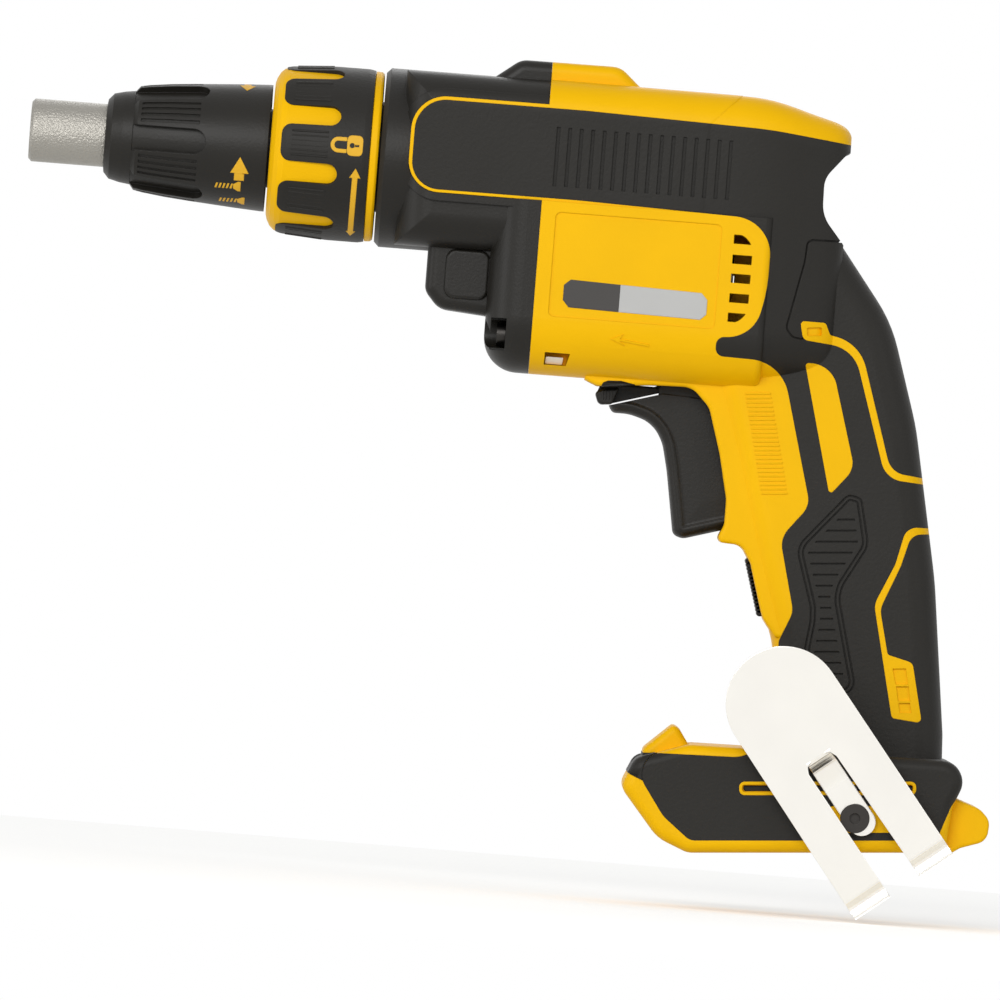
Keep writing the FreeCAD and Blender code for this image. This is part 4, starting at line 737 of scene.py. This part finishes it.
(low_edge, slot_low), (slot_high, high_edge) = LEGS
head = arc(HEAD_MIDDLE, HEAD_RADIUS, 270.0, 90.0, 40)
slot_end = [(-18.0, 5.6), (-19.8, 4.8), (-20.7, 3.2), (-20.7, -1.6), (-19.8, -3.2), (-18.0, -4.0)]
lower_leg = [(LEG_END, slot_low), (LEG_END, low_edge)]
upper_leg = [(LEG_END, high_edge), (LEG_END, slot_high)]
clip = bmesh.new()
flat_sheet(clip, lower_leg + head + upper_leg + slot_end, 0.0)
for low, high in LEGS:
    bent_sheet(clip, [(LEG_END, 0.0), (18.8, 0.0), (21.3, 2.8), (24.3, 0.5)], low, high)
tongue = [(-20.7, 0.0), (-19.8, 0.6), (-17.6, 5.0), (-13.0, DROP), (TONGUE_END, DROP)]
bent_sheet(clip, tongue, TONGUE_MIDDLE - TONGUE_HALF, TONGUE_MIDDLE + TONGUE_HALF)
flat_sheet(clip, arc((TONGUE_END, TONGUE_MIDDLE), TONGUE_HALF, -90.0, 90.0, 40), DROP)
clip_sheet = built("clip_sheet", clip, "housing", bright_nickel)
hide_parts("belt_clip")
print("clip:", len(clip_sheet.data.polygons), "faces")

# %% [markdown]
# Behind the small air window in the pod's belly sits the pale foot of the motor's insulator, in front of a yellow
# rib of the housing. The foot's face follows the slope of the belly, so it never stands out of the window.

# %% Insulator's foot behind the air window
BACK_NEAR, BACK_FAR, FOOT_FAR = 19.5, 14.0, 13.0
FOOT_TOP, FOOT_NEAR, BELLY_SLOPE = -54.0, 23.4, 1.14
insulator_foot = rounded([(154.1, FOOT_TOP), (159.2, FOOT_TOP), (158.9, -56.1), (154.0, -56.1)], 0.3)
window_back = [(153.9, -52.9), (160.8, -52.9), (159.9, -56.2), (153.8, -56.2)]
for label, side in (("left", -1), ("right", 1)):
    back = bmesh.new()
    slab(back, window_back, side * BACK_NEAR, side * BACK_FAR)
    built(label + "_window_back", back, "housing", yellow_nylon)
    foot = bmesh.new()
    prism(
        foot, insulator_foot, lambda x, z: (x, side * (FOOT_NEAR + (z - FOOT_TOP) * BELLY_SLOPE), z),
        lambda x, z: (x, side * FOOT_FAR, z),
    )
    built(label + "_insulator_foot", foot, "housing", white_nylon)
print("air windows: 2 feet and 2 backs")

# %% [markdown]
# The rear bearing shows through the vents. It has two races with a sunk shield between them, on both faces, which
# is one profile turned round the motor's axis.

# %% Shielded rear bearing
MOTOR_AXIS = -26.775
bearing_profile = [
    (201.0, 2.6), (201.0, 4.2), (201.3, 4.4), (201.3, 6.4), (201.0, 6.6), (201.0, 7.8), (201.2, 8.0), (206.1, 8.0),
    (206.28, 7.8), (206.28, 6.6), (205.8, 6.4), (205.8, 4.4), (206.28, 4.2), (206.28, 2.6),
]
bearing = turned(bearing_profile, steps=72)
for v in bearing.verts:
    v.co.z += MOTOR_AXIS * MM
shielded = built("shielded_bearing", bearing, "housing", turned_steel)
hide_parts("motor_rear_bearing")
print("bearing:", len(shielded.data.polygons), "faces")

# %% [markdown]
# The reverse lever's arm has a thin fin in the middle that closes its slot in the housing. It is narrow enough to
# swing with the lever and touch neither side.

# %% Fin of the lever
FIN_HALF = 1.5
fin_loop = [
    (169.8, -62.8), (170.5, -60.9), (171.6, -60.2), (186.2, -60.2), (195.0, -56.3), (194.0, -58.4), (188.0, -60.9),
    (175.0, -62.4),
]
fin = bmesh.new()
slab(fin, fin_loop, -FIN_HALF, FIN_HALF)
lever_fin = built("lever_fin", fin, "reverse_lever", black_nylon)
print("fin:", len(lever_fin.data.polygons), "faces")

# %% [markdown]
# The clutch spring gets shorter when the spindle is pushed in. An imported solid can't do that, so a copy of its
# coil takes its place and rides the clutch gear.

# %% Coil of the clutch
SOLID_WELD = 0.001
coil = bmesh.new()
coil.from_mesh(nodes["clutch_spring"].data)
bmesh.ops.remove_doubles(coil, verts=coil.verts, dist=SOLID_WELD * MM)
clutch_coil = built("clutch_coil", coil, "clutch_gear", turned_steel)
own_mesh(clutch_coil)
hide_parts("clutch_spring")
print("coil:", len(clutch_coil.data.polygons), "faces")

# %% [markdown]
# The black skin also runs round the foot's front upper corners, and a black sheet at the lever's slot is painted
# shade of the slot's recess. The corner bends too sharply for a drawing laid on from the side, so such a skin is cut
# out of a copy of the housing's own outer faces and lifted a little. Faces that look inward or backward are left
# out.

# %% Skin cut from the housing's own faces
TURNED_AWAY = 0.2
SKIN_SHARE = 0.9


def skin(name, corners, solid, body, material, lift, side, reach):
    """Outer faces of a solid inside a convex loop of (x, z) in mm, further than reach from the middle, lifted."""
    faces = bmesh.new()
    faces.from_mesh(solid.data)
    bmesh.ops.remove_doubles(faces, verts=faces.verts, dist=SOLID_WELD * MM)
    middle = sum((Vector(corner) for corner in corners), Vector((0.0, 0.0))) / len(corners)
    cuts = [(Vector((0.0, side * reach, 0.0)), Vector((0.0, -side, 0.0)))]
    for before, here in zip(corners[-1:] + corners, corners):
        across = (Vector(here) - Vector(before)).orthogonal()
        if across.dot(middle - Vector(here)) > 0:
            across.negate()
        cuts.append((Vector((here[0], 0.0, here[1])), Vector((across.x, 0.0, across.y))))
    for spot, outward in cuts:
        everything = faces.verts[:] + faces.edges[:] + faces.faces[:]
        bmesh.ops.bisect_plane(faces, geom=everything, plane_co=spot * MM, plane_no=outward, clear_outer=True)
    away = [f for f in faces.faces if f.normal.y * side < -TURNED_AWAY or f.normal.x > TURNED_AWAY]
    bmesh.ops.delete(faces, geom=away, context="FACES")
    faces.normal_update()
    for v in faces.verts:
        v.co += v.normal * lift * MM
    bmesh.ops.solidify(faces, geom=faces.faces[:], thickness=lift * SKIN_SHARE * MM)
    piece = built(name, faces, body, material)
    print(name, len(piece.data.polygons), "faces")


print("skin fills", SKIN_SHARE, "of its lift")

# %% [markdown]
# Both housing halves get the same four things: the skin on the foot's corner, a black sheet of painted shade at the
# lever's slot, 24 fine ribs across the yellow throat, and a black sheet of painted shade on the floor of the foot's
# long slot.

# %% Corner, painted shade at the lever's slot, throat ribs and painted shade in the foot's slot
SKIN_LIFT, SKIN_REACH = 0.2, 0.3
# Lift and reach of the black sheet of painted shade at the lever's slot.
LEVER_SHADE_LIFT, LEVER_SHADE_REACH = 0.15, 9.3
RIB_LIFT, RIB = 0.2, 0.25
# Lift and thickness of the black sheet of painted shade in the foot's slot.
FOOT_SHADE_LIFT, FOOT_SHADE_SHEET = 0.1, 0.15
THROAT_RIBS = 24
RIB_RUN, RIB_RISE, RIB_HALF = 7.4, 0.6, 0.26
foot_corner = [(184.6, -170.4), (189.7, -166.0), (195.9, -165.6), (192.2, -174.1), (188.0, -172.4)]
# Painted shade: outline of a black sheet where the lever's slot lies in shade.
lever_shade_outline = [(170.6, -61.7), (171.2, -60.15), (172.6, -59.5), (176.4, -59.3), (180.3, -60.0), (181.5, -61.0)]
# Painted shade: a black sheet on the floor of the foot's slot, standing in for the dark of the open slot.
foot_slot_shade = rounded([(220.6, -173.0), (269.2, -169.2), (269.4, -170.7), (220.8, -174.6)], 0.7)
throat_ribs = []
for k in range(THROAT_RIBS):
    share = k / (THROAT_RIBS - 1)
    x, z = 212.4 + 7.0 * share, -60.2 - 28.4 * share
    upper_side = [(x, z + RIB_HALF), (x + RIB_RUN, z + RIB_RISE + RIB_HALF)]
    throat_ribs.append(upper_side + [(a, b - 2 * RIB_HALF) for a, b in reversed(upper_side)])
for label, side in (("left", -1), ("right", 1)):
    half = nodes[label + "_housing"]
    skin(
        label + "_foot_corner", foot_corner, half, "housing", soft_black,
        SKIN_LIFT, side, SKIN_REACH,
    )
    # Painted shade at the lever's slot, as a black sheet on the housing.
    skin(label + "_lever_slot_shade", lever_shade_outline, half, "housing", black_nylon, LEVER_SHADE_LIFT, side, LEVER_SHADE_REACH)
    transfer(
        label + "_throat_ribs", throat_ribs, half, "housing", yellow_nylon,
        RIB_LIFT, RIB, side,
    )
    # Painted shade on the floor of the foot's slot.
    transfer(
        label + "_foot_slot_shade", [foot_slot_shade], half, "housing", black_nylon,
        FOOT_SHADE_LIFT, FOOT_SHADE_SHEET, side,
    )

# %% [markdown]
# A thin arrow on the pod's belly tells which way the motor air flows. It is cut into the mould, so on the part it
# stands a fraction of a millimetre proud in the same yellow, and only its edges catch the light.

# %% Raised arrow on the belly
ARROW_LIFT, ARROW = 0.25, 0.35
air_arrow = [
    (172.4, -47.6), (176.0, -45.9), (175.0, -47.3), (183.6, -48.3), (183.6, -48.9), (175.0, -47.9), (176.6, -49.2),
]
transfer(
    "belly_arrow", [air_arrow], nodes["left_housing"], "housing", yellow_nylon,
    ARROW_LIFT, ARROW,
)

# %% [markdown]
# Fine ribs repeat on the collar's pads, on the sides of the lever and on the front of the grip. They all follow one
# rule, a rod that is carried from a first to a last place in equal steps, and around the barrel where that is
# asked. Geometry Nodes state the rule once with named inputs, and each use only sets the inputs.

# %% Rib rule as a node tree
rule = bpy.data.node_groups.new("rib_rule", "GeometryNodeTree")
SOCKETS = [
    ("Ribs", "NodeSocketInt"), ("First Start", "NodeSocketVector"), ("First End", "NodeSocketVector"),
    ("Last Start", "NodeSocketVector"), ("Last End", "NodeSocketVector"), ("Radius", "NodeSocketFloat"),
    ("Copies Around", "NodeSocketInt"), ("Turn", "NodeSocketFloat"), ("Material", "NodeSocketMaterial"),
]
rule.interface.new_socket("Geometry", in_out="OUTPUT", socket_type="NodeSocketGeometry")
keys = {}
for label, kind in SOCKETS:
    keys[label] = rule.interface.new_socket(label, in_out="INPUT", socket_type=kind).identifier
given = add(rule, "NodeGroupInput").outputs
# How far along the row each rib is, from 0 to 1, and the two ends of its rod there
row = add(rule, "GeometryNodeMeshLine", Count=given["Ribs"])
index = add(rule, "GeometryNodeInputIndex").outputs[0]
steps = add(rule, "ShaderNodeMath", {"operation": "SUBTRACT", 0: given["Ribs"], 1: 1.0}).outputs[0]
share = add(rule, "ShaderNodeMath", {"operation": "DIVIDE", 0: index, 1: steps}).outputs[0]
start, end = (
    add(rule, "ShaderNodeMix", {"data_type": "VECTOR", 0: share, 4: given[first], 5: given[last]}).outputs[1]
    for first, last in (("First Start", "Last Start"), ("First End", "Last End"))
)
# A rod of unit length, put in the middle, turned to the rib's direction and stretched to its length
direction = add(rule, "ShaderNodeVectorMath", {"operation": "SUBTRACT", 0: end, 1: start}).outputs[0]
span = add(rule, "ShaderNodeVectorMath", {"operation": "LENGTH", 0: direction}).outputs["Value"]
centre = add(rule, "ShaderNodeMix", {"data_type": "VECTOR", 0: 0.5, 4: start, 5: end}).outputs[1]
spots = add(rule, "GeometryNodeSetPosition", Geometry=row.outputs[0], Position=centre)
stretch = add(rule, "ShaderNodeCombineXYZ", {"X": 1.0, "Y": 1.0}, Z=span)
aim = add(rule, "FunctionNodeAlignRotationToVector", {"axis": "Z"}, Vector=direction)
rod = add(rule, "GeometryNodeMeshCylinder", {"Vertices": 10, "Depth": 1.0}, Radius=given["Radius"])
ribs = add(
    rule, "GeometryNodeInstanceOnPoints", Points=spots.outputs[0], Instance=rod.outputs[0],
    Rotation=aim.outputs[0], Scale=stretch.outputs[0],
)
# The whole row again, turned round the barrel for each copy
around = add(rule, "GeometryNodeMeshLine", {"Offset": (0.0, 0.0, 0.0)}, Count=given["Copies Around"])
copy_index = add(rule, "GeometryNodeInputIndex").outputs[0]
angle = add(rule, "ShaderNodeMath", {"operation": "MULTIPLY", 0: copy_index, 1: given["Turn"]})
about_barrel = add(rule, "ShaderNodeCombineXYZ", X=angle.outputs[0])
rows_around = add(
    rule, "GeometryNodeInstanceOnPoints", Points=around.outputs[0], Instance=ribs.outputs[0],
    Rotation=about_barrel.outputs[0],
)
real = add(rule, "GeometryNodeRealizeInstances", Geometry=rows_around.outputs[0])
painted = add(rule, "GeometryNodeSetMaterial", Geometry=real.outputs[0], Material=given["Material"])
add(rule, "NodeGroupOutput", Geometry=painted.outputs[0])
print("rib rule:", len(rule.nodes), "nodes")

# %% [markdown]
# The collar's nine rubber pads have six hair-thin ribs each, which stop a gloved hand from slipping. The pads climb
# towards the back, so the ribs start lower than they end. The lever has four short ribs on each side for the
# finger, and the front of the grip has fifteen across, where the fingers close.


# %% Ribs of the collar, lever and grip
def ribbed(name, count, first, last, radius, body, material, copies=1, turn=0.0):
    """Ribs from the first (start, end) to the last (start, end), all in mm."""
    holder = bpy.data.objects.new(name, bpy.data.meshes.new(name))
    scene.collection.objects.link(holder)
    modifier = holder.modifiers.new("ribs", "NODES")
    modifier.node_group = rule
    values = [count] + [tuple(v * MM for v in point) for point in (*first, *last)]
    for (label, _), value in zip(SOCKETS, values + [radius * MM, copies, turn, material]):
        modifier[keys[label]] = value
    bpy.context.view_layer.update()
    mesh = bpy.data.meshes.new_from_object(holder.evaluated_get(bpy.context.evaluated_depsgraph_get()))
    bpy.data.objects.remove(holder)
    print(name, len(mesh.polygons), "faces")
    placed(name, mesh, body, material)


LEVER_SIDE, GRIP_SIDE = 10.4, 11.0
PAD_RIB, LEVER_RIB, GRIP_RIB = 0.36, 0.3, 0.95
first_rib, last_rib = (
    [on_barrel(76.0, 24.32, math.radians(turn)), on_barrel(86.6, 25.05, math.radians(turn))] for turn in (13.0, -3.4)
)
ribbed(
    "collar_pad_ribs", 6, first_rib, last_rib, PAD_RIB, "collar", soft_black,
    copies=PADS, turn=2 * math.pi / PADS,
)
for label, y in (("left", -LEVER_SIDE), ("right", LEVER_SIDE)):
    ribbed(
        label + "_lever_ribs", 4, [(171.3, y, -62.5), (171.6, y, -65.2)], [(174.0, y, -62.3), (174.2, y, -65.0)],
        LEVER_RIB, "reverse_lever", black_nylon,
    )
upper_rib, lower_rib = (
    [(x, -GRIP_SIDE, z), (x, GRIP_SIDE, z)] for x, z in ((217.3, -108.4), (221.7, -123.2))
)
ribbed("grip_front_ribs", 15, upper_rib, lower_rib, GRIP_RIB, "housing", soft_black)
